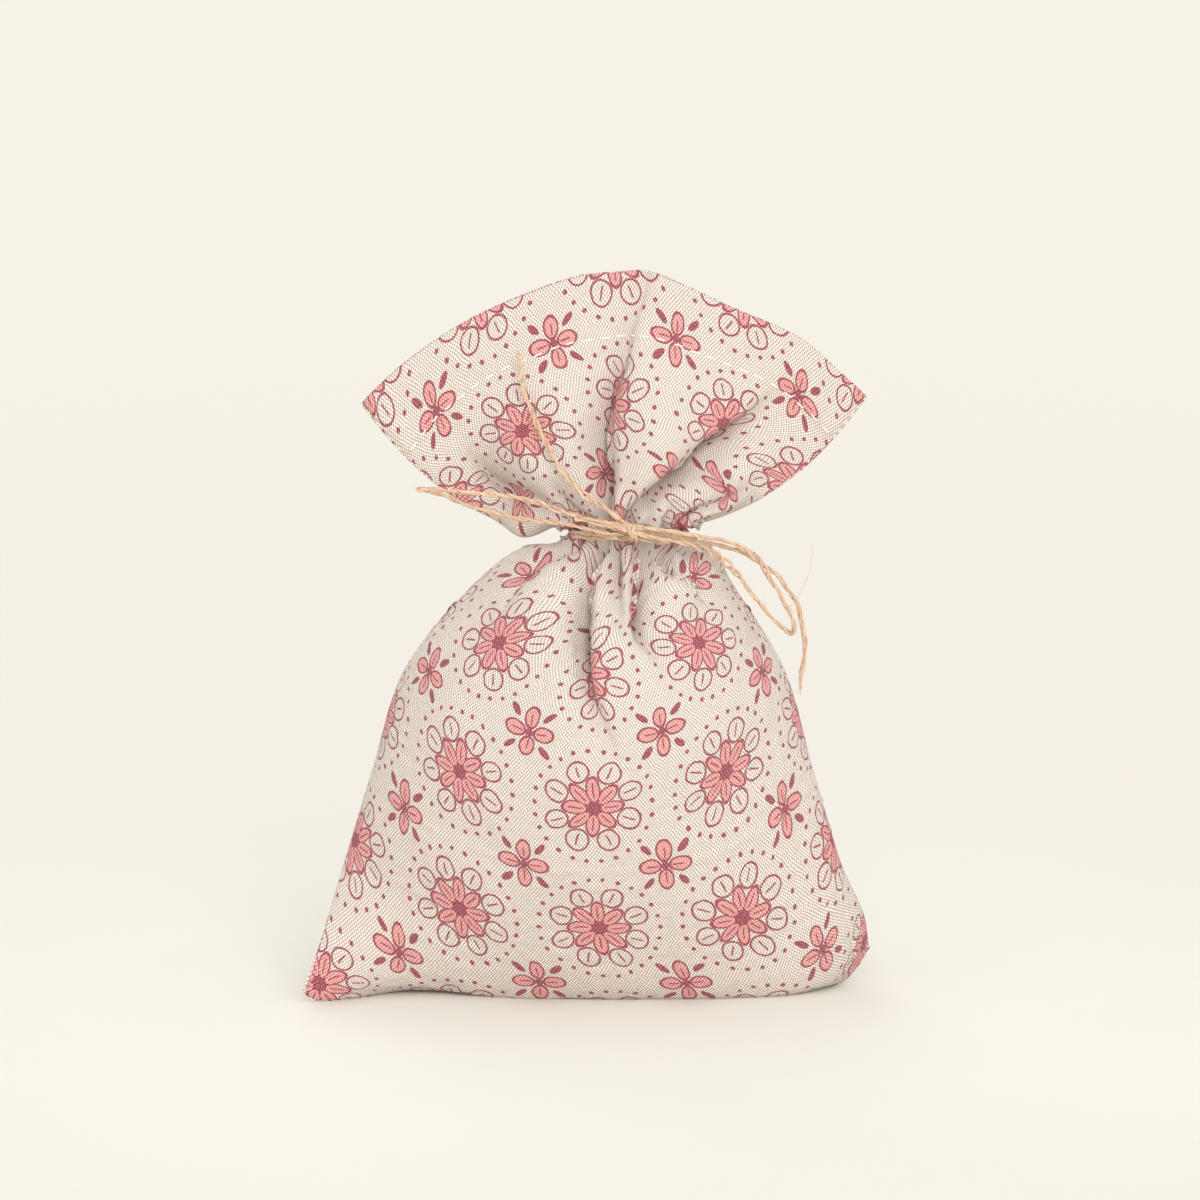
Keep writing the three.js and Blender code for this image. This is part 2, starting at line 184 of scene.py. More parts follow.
RIGHT_LOOP = (
    (0.0119, -0.0134, 0.1046), (0.0153, -0.0135, 0.1042), (0.0184, -0.0135, 0.1038),
    (0.0236, -0.0133, 0.1027), (0.0284, -0.0129, 0.1019), (0.0316, -0.0126, 0.1009),
    (0.0342, -0.0124, 0.0995), (0.0366, -0.0122, 0.0978), (0.038, -0.0121, 0.0959),
    (0.0396, -0.0119, 0.0929), (0.0415, -0.0117, 0.0902), (0.043, -0.0114, 0.0871),
    (0.0441, -0.011, 0.085), (0.0448, -0.0103, 0.0828), (0.0447, -0.009, 0.0811),
    (0.0439, -0.0078, 0.0807), (0.0428, -0.0072, 0.0814), (0.0401, -0.007, 0.0839),
    (0.038, -0.0072, 0.0865), (0.0353, -0.0078, 0.0897), (0.0327, -0.009, 0.0936),
    (0.0289, -0.011, 0.0974), (0.0263, -0.0122, 0.0991), (0.0239, -0.0131, 0.1003),
    (0.021, -0.0136, 0.1011), (0.0179, -0.0137, 0.1018), (0.0151, -0.0137, 0.1023),
    (0.0118, -0.0136, 0.103),
)
RIGHT_END = (
    (0.0122, -0.0118, 0.1036), (0.0149, -0.0117, 0.103), (0.0184, -0.0116, 0.1024),
    (0.0236, -0.0112, 0.1013), (0.0284, -0.0108, 0.1004), (0.0311, -0.0106, 0.0996),
    (0.0338, -0.0105, 0.0986), (0.0369, -0.0104, 0.097), (0.039, -0.0104, 0.0954),
    (0.0412, -0.0103, 0.0936), (0.0433, -0.0101, 0.0907), (0.0452, -0.0099, 0.088),
    (0.046, -0.0097, 0.0853), (0.0468, -0.0094, 0.0813), (0.0472, -0.0092, 0.0786),
    (0.047, -0.0089, 0.0745), (0.0465, -0.0087, 0.0717), (0.0463, -0.0085, 0.069),
)
UPPER_END = (
    (0.0067, -0.0132, 0.1064), (0.0054, -0.0132, 0.1075), (0.0041, -0.0131, 0.1085),
    (0.0025, -0.0129, 0.1095), (-0.0001, -0.0124, 0.111), (-0.0022, -0.0119, 0.1128),
    (-0.0047, -0.0113, 0.1153), (-0.0064, -0.0106, 0.1177), (-0.0085, -0.0097, 0.1216),
    (-0.0107, -0.0088, 0.1256), (-0.0127, -0.0079, 0.1303), (-0.014, -0.0074, 0.1334),
    (-0.0145, -0.0068, 0.137), (-0.0152, -0.0062, 0.1416),
)

# From the knot, where the winding leaves it and comes back to it
WINDING_LEAVES = ((0.0022, 0.0009, -0.0018), (0.0034, 0.0009, -0.0019),
                  (0.0056, 0.0015, -0.0025), (0.0084, 0.0031, -0.0032))
WINDING_RETURNS = ((-0.0054, 0.0021, -0.0013), (-0.0034, 0.001, -0.0017),
                   (-0.0022, 0.0009, -0.0017))
WINDING_OPENING = math.radians(86)
TURN_STEPS = 24

PLY_RADIUS = 0.29 * MM
PLY_OFFSET = 0.23 * MM
PLY_TWIST = 2 * math.pi / (7.5 * MM)
PLY_STEP = 0.35 * MM
PLY_SIDES = 8
LOOSE_STRANDS = 3
STRAND_RADIUS = 0.085 * MM
FIBRE_RADIUS = 0.03 * MM
HAIR_REACH = 2.1 * MM


def winding_route():
    sweep = 2 * math.pi * TURNS - WINDING_OPENING
    count = round(sweep * TURN_STEPS / (2 * math.pi))
    share = np.arange(count + 1) / count
    angle = (WINDING_OPENING - math.pi) / 2 + sweep * share
    climb = (share - 0.5) * sweep * TURN_PITCH / (2 * math.pi)
    out = TWINE_GAP + TWINE_DIAMETER / 2 - GROOVE_DEPTH - SIDE_SINK * np.cos(angle) ** 4
    around = np.stack([NECK_X + (NECK_HALF_WIDTH + out) * np.cos(angle),
                       (NECK_HALF_DEPTH + out) * np.sin(angle),
                       TIE_HEIGHT - COLLAR_HEIGHT / 2 + climb], 1)
    knot = np.array(KNOT)
    return np.concatenate([knot + WINDING_LEAVES, around, knot + WINDING_RETURNS])


def distances(path):
    """How far along the path each of its points is."""
    steps = np.linalg.norm(np.diff(path, axis=0), axis=1)
    return np.concatenate([[0], np.cumsum(steps)])


def spaced(path, count):
    """So many evenly spaced points along the path."""
    along = distances(path)
    places = np.linspace(0, along[-1], count)
    return np.stack([np.interp(places, along, path[:, k]) for k in range(3)], 1)


def smooth_path(points, step):
    """Points a step apart along the smooth curve through the given ones."""
    p = np.asarray(points, float)
    p = np.concatenate([[2 * p[0] - p[1]], p, [2 * p[-1] - p[-2]]])
    t = np.linspace(0, 1, 12, endpoint=False)[:, None]
    fine = []
    for a, b, c, d in zip(p[:-3], p[1:-2], p[2:-1], p[3:]):
        fine.append(0.5 * (2 * b + (c - a) * t + (2 * a - 5 * b + 4 * c - d) * t ** 2
                           + (3 * b - a - 3 * c + d) * t ** 3))
    fine = np.concatenate([*fine, [p[-2]]])
    return spaced(fine, max(2, round(distances(fine)[-1] / step)) + 1)


def unit(vectors):
    return vectors / np.maximum(np.linalg.norm(vectors, axis=-1, keepdims=True), 1e-12)


def frames_along(path):
    """Along a path: its direction and two directions across it that turn as little as can be."""
    forward = unit(np.gradient(path, axis=0))
    start = np.cross(forward[0], (0.3, 0.5, 0.8))
    across = [unit(start)]
    for direction in forward[1:]:
        last = across[-1]
        across.append(unit(last - direction * (last @ direction)))
    across = np.array(across)
    return forward, across, np.cross(forward, across)


def tube(parts, path, radii, sides, first=0.0):
    """A closed tube along a path. Its uv is the turn round it and the length along it in mm."""
    path = np.asarray(path)
    a, b = frames_along(path)[1:]
    count = len(path)
    turn = np.arange(sides) / sides
    x, y = np.cos(2 * np.pi * turn), np.sin(2 * np.pi * turn)
    ring = x[:, None] * a[:, None] + y[:, None] * b[:, None]
    vertices = path[:, None] + ring * np.broadcast_to(radii, count)[:, None, None]
    uv = np.stack(np.broadcast_arrays(turn, distances(path)[:, None] / MM + first), -1)
    index = np.arange(count * sides).reshape(count, sides)
    faces = grid_faces(np.c_[index, index[:, 0]]).tolist()
    parts.add(vertices, [*faces, index[0, ::-1].tolist(), index[-1].tolist()], uv)


def beside(path, out, turn, a, b):
    """The path moved out by so much, at a turn round it."""
    return path + out[:, None] * (np.cos(turn)[:, None] * a + np.sin(turn)[:, None] * b)


def two_ply(parts, path, seed, loose=()):
    """Two lumpy plies twisted round each other along the path, with a few loose strands. loose
    gives stretches where the plies stand apart: middle and reach, as shares of the path, and
    how far apart."""
    random = np.random.default_rng(seed)
    a, b = frames_along(path)[1:]
    along = distances(path)
    slack = np.interp(along, np.linspace(0, along[-1], 12), random.uniform(-0.9, 0.9, 12))
    opened = 0
    for middle, reach, apart in loose:
        opened = opened + apart * (1 - smooth(np.abs(along / along[-1] - middle) / reach))
    for k in range(2):
        turn = along * PLY_TWIST + math.pi * k + slack
        out = PLY_OFFSET * (1 + 0.3 * np.sin(along / (4.1 * MM) + 2 * k + seed)) + opened
        lumps = np.interp(along, np.linspace(0, along[-1], 40), random.uniform(0.8, 1.16, 40))
        tube(parts, beside(path, out, turn, a, b), PLY_RADIUS * lumps, PLY_SIDES,
             first=37.0 * k + 11.0 * seed)
    for k in range(LOOSE_STRANDS):
        turn = along * PLY_TWIST * random.uniform(0.3, 0.8) + random.uniform(0, 6.28)
        out = PLY_OFFSET * random.uniform(1.5, 2.1) * (
            1 + 0.3 * np.sin(along / (random.uniform(3, 7) * MM) + k)) + 0.7 * opened
        tube(parts, beside(path, out, turn, a, b), STRAND_RADIUS, 4, first=53.0 * k + 7.0 * seed)


def fibres(parts, path, count, seed, longest=1.9 * MM):
    """Short hairs that stand off the twine at all angles."""
    random = np.random.default_rng(seed)
    forward, a, b = frames_along(path)
    for _ in range(count):
        i = random.integers(2, len(path) - 2)
        turn = random.uniform(0, 2 * np.pi)
        out = math.cos(turn) * a[i] + math.sin(turn) * b[i]
        heading = unit(out * random.uniform(0.2, 0.9) + forward[i] * random.choice([-1, 1]))
        curl = unit(random.normal(size=3)) * random.uniform(0.1, 0.5)
        length = longest * random.uniform(0.35, 1)
        share = np.linspace(0, 1, 6)[:, None]
        hair = out * TWINE_DIAMETER * 0.42 + length * (heading * share + curl * share ** 2)
        far = np.linalg.norm(hair, axis=1, keepdims=True)
        hair = path[i] + hair * np.minimum(1, HAIR_REACH / far)
        tube(parts, hair, FIBRE_RADIUS * np.linspace(1, 0.4, 6), 3)


def frayed_end(parts, path, seed):
    """The plies open into loose strands at a cut end."""
    random = np.random.default_rng(seed)
    heading = unit(path[-1] - path[-4])
    share = np.linspace(0, 1, 6)[:, None]
    for _ in range(9):
        away = np.clip(random.normal(size=3), -1.2, 1.2) * 0.3
        strand = path[-1] - heading * 0.6 * MM + random.uniform(1, 2.2) * MM * (
            heading * share + away * share ** 1.5)
        tube(parts, strand, np.linspace(0.11, 0.04, 6) * MM, 4)


def twine_piece(name, path, seed, hairs, frayed=False, loose=()):
    parts = Parts()
    two_ply(parts, path, seed, loose)
    fibres(parts, path, hairs, seed + 50)
    if frayed:
        frayed_end(parts, path, seed + 90)
    return parts.build(name)


def make_free_twine():
    rows = (
        ("left_loop", LEFT_LOOP, "left_loop", "bow_loop_left", "object", False,
         ((0.16, 0.08, 0.25 * MM),)),
        ("right_loop", RIGHT_LOOP, "right_bow", "bow_loop_right", "object", False,
         ((0.3, 0.1, 0.3 * MM), (0.8, 0.13, 0.5 * MM))),
        ("right_end", RIGHT_END, "right_bow", "bow_end_right", "bare", True, ()),
        ("upper_end", UPPER_END, "upper_end", "bow_end_up", "bare", True,
         ((0.2, 0.16, 0.35 * MM), (0.6, 0.16, 0.2 * MM))),
    )
    made = []
    for seed, (name, route, body, node, far_end, frayed, loose) in enumerate(rows):
        path = smooth_path(route, PLY_STEP)
        length = float(distances(path)[-1])
        piece = twine_piece(name, path, seed + 1, round(length / (0.8 * MM)), frayed, loose)
        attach(piece, body)
        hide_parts(node)
        made.append(piece)
    return made


# Cloth shape, by the same stations as the solids

COLLAR_START = 0.95
COLLAR_SHARE = 1 - COLLAR_HEIGHT / TIE_HEIGHT
NECK_SHARE = NECK_HALF_DEPTH / BELLY_HALF_DEPTH

# Shares of the way up the cloth, and at each of them a share of a size
SIDE_STATIONS = (0, 0.08, 0.2, 0.4, 0.6, 0.8, 0.9, COLLAR_START, 1)
MIDDLE_STATIONS = (0, 0.1, 0.2, 0.4, 0.6, 0.8, 0.9, COLLAR_START, 1)
SEAM_HEIGHTS = tuple(zip(SIDE_STATIONS, (0, 0.095, 0.237, 0.47, 0.69, 0.874, 0.952,
                                         COLLAR_SHARE, 1)))
LEFT_FLARE = tuple(zip(SIDE_STATIONS, (1, 0.94, 0.868, 0.742, 0.612, 0.342, 0.155, 0, 0)))
RIGHT_FLARE = tuple(zip(SIDE_STATIONS, (1, 0.965, 0.85, 0.672, 0.505, 0.215, 0.1, 0, 0)))
FRONT_HEIGHTS = tuple(zip(MIDDLE_STATIONS, (0, 0.001, 0.098, 0.316, 0.546, 0.773, 0.89,
                                            COLLAR_SHARE, 1)))
BELLY_SHARES = tuple(zip(MIDDLE_STATIONS, (0, 0.38, 0.61, 0.885, 1, 0.84, 0.6, NECK_SHARE,
                                           NECK_SHARE)))
CORNER_REACH = 0.26
EAR_START = 0.5
CORNER_START = 0.84
EAR_TIP_START = 0.93
LEFT_SHARPNESS = 1.5
RIGHT_SHARPNESS = 0.55
SHARP_SHARE = 0.5
LEFT_FLATNESS = 3
RIGHT_FLATNESS = 8

# From the tie to the mouth, in mm, at a place across the ruffle
MOUTH_RADII = ((-1, 64.4), (-0.91, 62.3), (-0.73, 59), (-0.53, 56.6), (-0.35, 55.4),
               (-0.16, 55.7), (-0.05, 55.5), (0.08, 55.6), (0.19, 54.2), (0.33, 53),
               (0.46, 53), (0.6, 54.4), (0.7, 55.7), (0.86, 56.9), (1, 59.2))

# Half the depth of the ruffle at a share of the way from the tie to the mouth
RUFFLE_DEPTHS = ((0, 0.0095), (0.08, 0.0098), (0.2, 0.0082), (0.4, 0.0052), (0.6, 0.0032),
                 (0.8, 0.0023), (1, 0.0019))


def through(stations, at):
    """A smooth curve through the stations, by cubic pieces."""
    xs, ys = np.array(stations, float).T
    at = np.asarray(at, float)
    last = len(xs) - 1
    i = np.searchsorted(xs[1:-1], at)
    before, after = np.maximum(i - 1, 0), np.minimum(i + 2, last)
    span = xs[i + 1] - xs[i]
    t = (at - xs[i]) / span
    leave = (ys[i + 1] - ys[before]) / (xs[i + 1] - xs[before]) * span
    arrive = (ys[after] - ys[i]) / (xs[after] - xs[i]) * span
    return (ys[i] * (2 * t ** 3 - 3 * t ** 2 + 1) + leave * (t ** 3 - 2 * t ** 2 + t)
            + ys[i + 1] * (3 * t ** 2 - 2 * t ** 3) + arrive * (t ** 3 - t ** 2))


def body_point(side, across, up):
    """The outer face of the body without folds. side is -1 in front and 1 behind. across runs
    from -1 at the left seam to 1 at the right one. up is 0 at the bottom and 1 at the tie."""
    angle = across * np.pi / 2
    x = np.sin(angle)
    rightward = smooth((x + 0.4) / 0.8)
    lower = 1 - smooth(up / SHARP_SHARE)
    sharpness = mix(1, mix(LEFT_SHARPNESS, RIGHT_SHARPNESS, rightward), lower)
    bulge = np.maximum(np.cos(angle), 0) ** sharpness
    flatness = mix(2, mix(LEFT_FLATNESS, RIGHT_FLATNESS, rightward), lower)
    left = mix(NECK_X - NECK_HALF_WIDTH, BASE_LEFT, through(LEFT_FLARE, up))
    right = mix(NECK_X + NECK_HALF_WIDTH, BASE_RIGHT, through(RIGHT_FLARE, up))
    low = 1 - smooth(up / CORNER_REACH)
    ear = smooth((-x - EAR_START) / (1 - EAR_START)) * low
    corner = np.clip((x - CORNER_START) / (1 - CORNER_START), 0, 1) ** 2.2 * low
    tip = np.clip((-x - EAR_TIP_START) / (1 - EAR_TIP_START), 0, 1) ** 2 * low
    seam_height = mix(EAR_LIFT, TIE_HEIGHT, through(SEAM_HEIGHTS, up))
    front_height = TIE_HEIGHT * through(FRONT_HEIGHTS, up)
    height = mix(seam_height, front_height, 1 - np.abs(x) ** flatness)
    out = BELLY_HALF_DEPTH * through(BELLY_SHARES, up) * bulge
    return np.stack([(left + right) / 2 + (right - left) / 2 * x,
                     side * out - EAR_FORWARD * ear + CORNER_BACK * corner,
                     np.maximum(height - BASE_SETTLE * low, 0) + CORNER_LIFT * corner
                     + EAR_TIP_LIFT * tip], -1)


def ruffle_point(side, across, up):
    """The outer face of the ruffle without folds, from the tie, 0, to the mouth, 1."""
    angle = across * np.pi / 2
    tip_angle = np.where(across < 0, LEFT_TIP_ANGLE, RIGHT_TIP_ANGLE)
    fan = np.radians(across * tip_angle)
    radius = through(MOUTH_RADII, across) * MM
    lean = np.radians(across * mix(RIGHT_SPREAD_ANGLE, LEFT_SPREAD_ANGLE,
                                   smooth((0.4 - across) / 0.8)))
    foot_x = NECK_X + NECK_HALF_WIDTH * np.sin(angle)
    bend_x = foot_x + SPREAD_REACH * np.sin(lean)
    bend_z = TIE_HEIGHT + SPREAD_REACH * np.cos(lean)
    mouth_x = NECK_X + radius * np.sin(fan)
    mouth_z = TIE_HEIGHT + radius * np.cos(fan)
    a, b, c = (1 - up) ** 2, 2 * up * (1 - up), up ** 2
    depth = through(RUFFLE_DEPTHS, up) * np.maximum(np.cos(angle), 0) ** 0.8
    x, y, z = np.broadcast_arrays(a * foot_x + b * bend_x + c * mouth_x, side * depth,
                                  a * TIE_HEIGHT + b * bend_z + c * mouth_z)
    return np.stack([x, y, z], -1)


# Folds. Heights are along the cloth from the tie, in millimetres: below it they are negative.
# A crease gives rows of height, place across and depth in mm, and how wide its two slopes are,
# as shares of half the panel. Its deep part is narrow, and leans sideways under one slope.
# None leaves a value to the rows beside it.

FRONT_CREASES = (
    dict(line=((-56, 0.08, 0), (-50, 0.06, 1.2), (-42, 0.01, 3.2), (-32, None, 7),
               (-31, -0.07, None), (-22, -0.12, 11), (-13, -0.2, 11), (-6, -0.3, 5)),
         left=0.17, right=0.07, lean=0.35, wide=0.68),
    dict(line=((-24, 0.1, 0), (-17, 0.03, 4), (-10, -0.05, 6.5), (-2, -0.2, 3), (4, -0.187, 5),
               (12, -0.125, 9.5), (23, -0.118, 9.5), (32, -0.08, 7.5), (39, -0.036, 5),
               (47, 0, 3.2), (57, 0.06, 2.2)), left=0.17, right=0.08, lean=0.35, wide=0.68),
    dict(line=((-36, 0.32, 0), (-28, 0.25, 3), (-22, 0.18, 7), (-13, 0.14, 9), (-2, 0.07, 3)),
         left=0.09, right=0.15, lean=-0.2, wide=0.62),
    dict(line=((-28, 0.66, 0), (-18, 0.56, 3.2), (-12, 0.4, 7), (-6, 0.24, 5), (-2, 0.12, 2)),
         left=0.09, right=0.24, lean=-0.25, wide=0.6),
    dict(line=((-28, -0.56, 0), (-17, -0.59, 2.6), (-8, -0.63, 3.4), (-2, -0.5, 1.4)),
         left=0.16, right=0.14, lean=0),
    dict(line=((2, -0.03, 3), (7, 0.08, 7), (12, 0.2, 11), (17, 0.31, 13), (24, 0.4, 11.5),
               (30, 0.52, 7), (41, 0.64, 2.4), (50, 0.7, 0)),
         left=0.1, right=0.26, lean=-0.4, wide=0.6),
    dict(line=((1, -0.5, 3), (7, -0.66, 7), (12, -0.72, 10), (20, -0.74, 10), (28, -0.74, 6.5),
               (36, -0.74, 2), (42, -0.74, 0)), left=0.2, right=0.3, lean=-0.2, wide=0.75),
    dict(line=((2, -0.36, 3), (8, -0.42, 5), (15, -0.44, 2.4), (26, -0.4, 0)),
         left=0.1, right=0.12, lean=0),
    dict(line=((2, 0.5, 3), (8, 0.66, 5), (14, 0.76, 3), (26, 0.84, 0)),
         left=0.12, right=0.1, lean=0),
)
BACK_CREASES = (
    dict(line=((-50, -0.26, 0), (-34, -0.2, 4), (-20, -0.14, 9), (-6, -0.1, 4)),
         left=0.08, right=0.22, lean=-0.3),
    dict(line=((-42, 0.36, 0), (-26, 0.28, 5), (-14, 0.2, 8.5), (-4, 0.16, 3)),
         left=0.2, right=0.07, lean=0.3),
    dict(line=((-28, 0.66, 0), (-16, 0.56, 6), (-6, 0.42, 4)), left=0.12, right=0.1, lean=0.2),
    dict(line=((-32, -0.66, 0), (-16, -0.54, 6), (-6, -0.4, 4)),
         left=0.1, right=0.12, lean=-0.2),
    dict(line=((2, -0.3, 3), (8, -0.4, 6), (20, -0.46, 0)), left=0.1, right=0.1, lean=0.2),
    dict(line=((2, 0.36, 3), (8, 0.42, 6), (20, 0.46, 0)), left=0.1, right=0.1, lean=-0.2),
    dict(line=((2, -0.68, 3), (8, -0.74, 5), (18, -0.8, 0)), left=0.1, right=0.1, lean=0),
    dict(line=((2, 0.02, 3), (8, 0.0, 5), (18, -0.03, 0)), left=0.1, right=0.1, lean=0),
)

# Lobes that stand out between the folds: height and place, how far they reach in mm of height
# and shares across, and how far they stand out in mm
FRONT_LOBES = (
    (25, 0.14, 24, 0.36, 6.5),
    (27, -0.4, 22, 0.34, 5.5),
    (12, -0.97, 12, 0.16, 3),
    (16, 0.72, 16, 0.26, 2.6),
    (-20, -0.42, 18, 0.3, 2.4),
    (-16, 0.42, 16, 0.2, 1.8),
    (-12, -0.02, 12, 0.1, 1.2),
)

GATHERS = 11
GATHER_DEPTH = 3.4
WIDE_SHARE = 0.42
NARROW = 0.035
FINE_COLUMNS = 1500
COLUMNS = 128
BODY_ROWS = 108
RUFFLE_ROWS = 52
GROOVE_DEPTH = 1.3 * MM
GROOVE_MIDDLE = -1.9
GROOVE_WIDTH = 2.6
SIDE_SINK = 0.9 * MM
ROLL_HEIGHT = 1.5 * MM
ROLLS = ((-5.4, 2.6), (0.9, 2.0))
ROLL_LEAST = 0.35
SHARED_FROM, SHARED_FADE = 10, 16
ROOM_SHARE = 0.8
EDGE_BAND = 0.06
EASE_FROM = 0.25
EASE_SPAN = 0.4
EASE_SHARE = 0.9
EASE_REACH = 2
EASE_ROUNDS = 14
LAST_EASE_ROUNDS = 4
UV_SHARE = 0.75
BACK_PRINT = (11, 7)


def cusp(offset, left, right):
    """1 at the bottom of a crease, falling to 0 at the top of each of its slopes."""
    t = np.where(offset < 0, -offset / left, offset / right)
    return np.clip(1 - t, 0, 1) ** 2


def column(line, k):
    """One column of a crease's rows, as pairs of height and value."""
    return [(row[0], row[k]) for row in line if row[k] is not None]


def crease_moves(creases, across, height):
    """How far the creases go in and sideways, in metres, over rows of heights in mm."""
    inward = np.zeros(np.broadcast(across, height).shape)
    sideways = np.zeros_like(inward)
    for crease in creases:
        line = crease["line"]
        low, high = line[0][0], line[-1][0]
        inside = np.clip(height, low, high)
        place = through(column(line, 1), inside)
        depth = np.maximum(through(column(line, 2), inside), 0)
        depth = depth * (1 - smooth((height - high) / 3)) * (1 - smooth((low - height) / 3))
        wide = cusp(across - place, crease["left"], crease["right"])
        deep = cusp(across - place, NARROW * 1.4, NARROW)
        inward += depth * mix(deep, wide, crease.get("wide", WIDE_SHARE))
        sideways += depth * deep * crease["lean"]
    return inward * MM, sideways * MM


def gather_depth(seed, across, height):
    """The fine gathers under the tie, in metres, over rows of heights in mm."""
    random = np.random.default_rng(seed)
    total = np.zeros(np.broadcast(across, height).shape)
    for k in range(GATHERS):
        place = -1 + (2 * k + 1) / GATHERS + random.uniform(-0.03, 0.03)
        drift = random.uniform(-0.004, 0.004)
        above, below = random.uniform(8, 17), random.uniform(8, 17)
        depth = GATHER_DEPTH * random.uniform(0.75, 1.1) * (1 - 0.45 * smooth(
            (abs(place) - 0.4) / 0.4))
        reach = np.where(height > 0, above, below)
        fade = 1 - smooth(np.abs(height) / reach)
        total += depth * fade * cusp(across - place - drift * height, 0.1, 0.1)
    return total * MM


def lobe_height(across, height):
    """How far the lobes of the front stand out, in metres."""
    total = 0
    for level, place, tall, wide, rise in FRONT_LOBES:
        far = np.sqrt(((height - level) / tall) ** 2 + ((across - place) / wide) ** 2)
        total = total + rise * (1 - smooth(far))
    return total * MM


def panel_shape(side):
    """Rows of points of one panel, evenly spaced along the real length of its cloth, with the
    height of each row along the cloth and its length."""
    across = np.linspace(-1, 1, FINE_COLUMNS)[None, :]
    below, above = np.linspace(1, 0, BODY_ROWS + 1), np.linspace(0, 1, RUFFLE_ROWS + 1)[1:]
    height = np.concatenate([-BODY_CLOTH * mix(below ** 2, below, 0.55),
                             RUFFLE_CLOTH * mix(above ** 2, above, 0.75)])[:, None]
    low = body_point(side, across, np.minimum(1 + height / BODY_CLOTH, 1))
    high = ruffle_point(side, across, np.maximum(height / RUFFLE_CLOTH, 0))
    base = np.where((height <= 0)[..., None], low, high)
    along = unit(np.gradient(base, axis=1))
    out = unit(np.cross(np.gradient(base, axis=0), along)) * side

    mm = height / MM
    front_in, front_over = crease_moves(FRONT_CREASES, across, mm)
    front_in = front_in - lobe_height(across, mm)
    own_in, own_over = (front_in, front_over) if side < 0 else crease_moves(
        BACK_CREASES, across, mm)
    own_in = own_in + gather_depth(3 if side < 0 else 4, across, mm)
    groove = (GROOVE_DEPTH + SIDE_SINK * np.sin(across * np.pi / 2) ** 4) * (
        1 - smooth(np.abs(mm - GROOVE_MIDDLE) / GROOVE_WIDTH))
    for level, width in ROLLS:
        groove = groove - ROLL_HEIGHT * (1 - smooth(np.abs(mm - level) / width)) * (
            mix(ROLL_LEAST, 1, smooth((np.abs(across) - 0.3) / 0.5)))
    shared = smooth((mm - SHARED_FROM) / SHARED_FADE)
    room = np.abs(base[..., 1]) * ROOM_SHARE
    inward = np.minimum(own_in * (1 - shared), room) + groove
    over = own_over * (1 - shared) * np.minimum(1, room / (4 * MM))
    shape = base - out * inward[..., None] + along * over[..., None]
    edge = smooth((1 - np.abs(across)) / EDGE_BAND)
    shape[..., 1] += shared * front_in * edge
    shape[..., 0] += shared * front_over * edge

    rows = np.array([spaced(row, COLUMNS + 1) for row in shape])
    lengths = np.array([distances(row)[-1] for row in shape])
    return ease_folds(rows, EASE_ROUNDS), height[:, 0], lengths


def grid_normals(grid, side):
    return unit(np.cross(np.gradient(grid, axis=0), np.gradient(grid, axis=1))) * side


def near(values, reach, pick):
    """What pick makes of each value's neighbours within so many rows and columns."""
    padded = np.pad(values, reach, mode="edge")
    m, n = values.shape
    return pick([padded[i:i + m, j:j + n] for i in range(2 * reach + 1)
                 for j in range(2 * reach + 1)], axis=0)


def ease_folds(grid, rounds):
    """Rounds off the places where the cloth turns more sharply than cloth can."""
    for _ in range(rounds):
        cells = unit(np.cross(np.diff(grid, axis=0)[:, :-1], np.diff(grid, axis=1)[:-1]))
        sharp = np.zeros(grid.shape[:2])
        for axis in (0, 1):
            last = cells.shape[axis] - 1
            turn = 1 - np.sum(np.take(cells, range(1, last + 1), axis)
                              * np.take(cells, range(last), axis), -1)
            spot = (slice(1, -1), slice(0, -1)) if axis == 0 else (slice(0, -1), slice(1, -1))
            sharp[spot] = np.maximum(sharp[spot], turn)
        share = EASE_SHARE * smooth((sharp - EASE_FROM) / EASE_SPAN)
        share = near(near(share, EASE_REACH, np.max), EASE_REACH, np.mean)
        share[0], share[-1], share[:, 0], share[:, -1] = 0, 0, 0, 0
        around = grid.copy()
        around[1:-1, 1:-1] = (grid[:-2, 1:-1] + grid[2:, 1:-1] + grid[1:-1, :-2]
                              + grid[1:-1, 2:]) / 4
        grid = mix(grid, around, share[..., None])
    return grid


def cubic_matrix(old, new):
    """Weights that read a smooth curve through old values at new evenly spaced places."""
    weights = np.zeros((new, old))
    for row, at in enumerate(np.linspace(0, old - 1, new)):
        i = min(int(at), old - 2)
        t = at - i
        shares = (-t + 2 * t ** 2 - t ** 3, 2 - 5 * t ** 2 + 3 * t ** 3,
                  t + 4 * t ** 2 - 3 * t ** 3, -t ** 2 + t ** 3)
        for k, share in zip(range(i - 1, i + 3), shares):
            weights[row, min(max(k, 0), old - 1)] += share / 2
    return weights


# Cloth simulation

SIM_SCALE = 10
SIM_FRAMES = 18
SIM_REACH = 2 * MM
RUFFLE_REACH = 1.2 * MM
GROUP_LEVELS = 40

# How firmly the simulated cloth is held: shares, and heights and reaches in mm
BODY_HOLD = 0.36
RUFFLE_HOLD = 0.3
BOTTOM_HOLD, BOTTOM_HOLD_FADE = 0.96, 9
NECK_HOLD, NECK_HOLD_FADE = 2, 6
SEAM_HOLD, SEAM_HOLD_FADE = 0.93, 0.07

# How much spare width it gets
SPARE_REACH = 60
BODY_SPARE = 0.25
SEAM_FIRMNESS = 0.6
CLOTH_SETTINGS = dict(
    quality=6, mass=0.3, tension_stiffness=12, compression_stiffness=12, shear_stiffness=6,
    bending_stiffness=1.2, tension_damping=8, compression_damping=8, shear_damping=8,
    bending_damping=1, air_damping=4, pin_stiffness=2, use_pressure=True,
    uniform_pressure_force=1.2, shrink_max=0, shrink_min=-0.07,
)


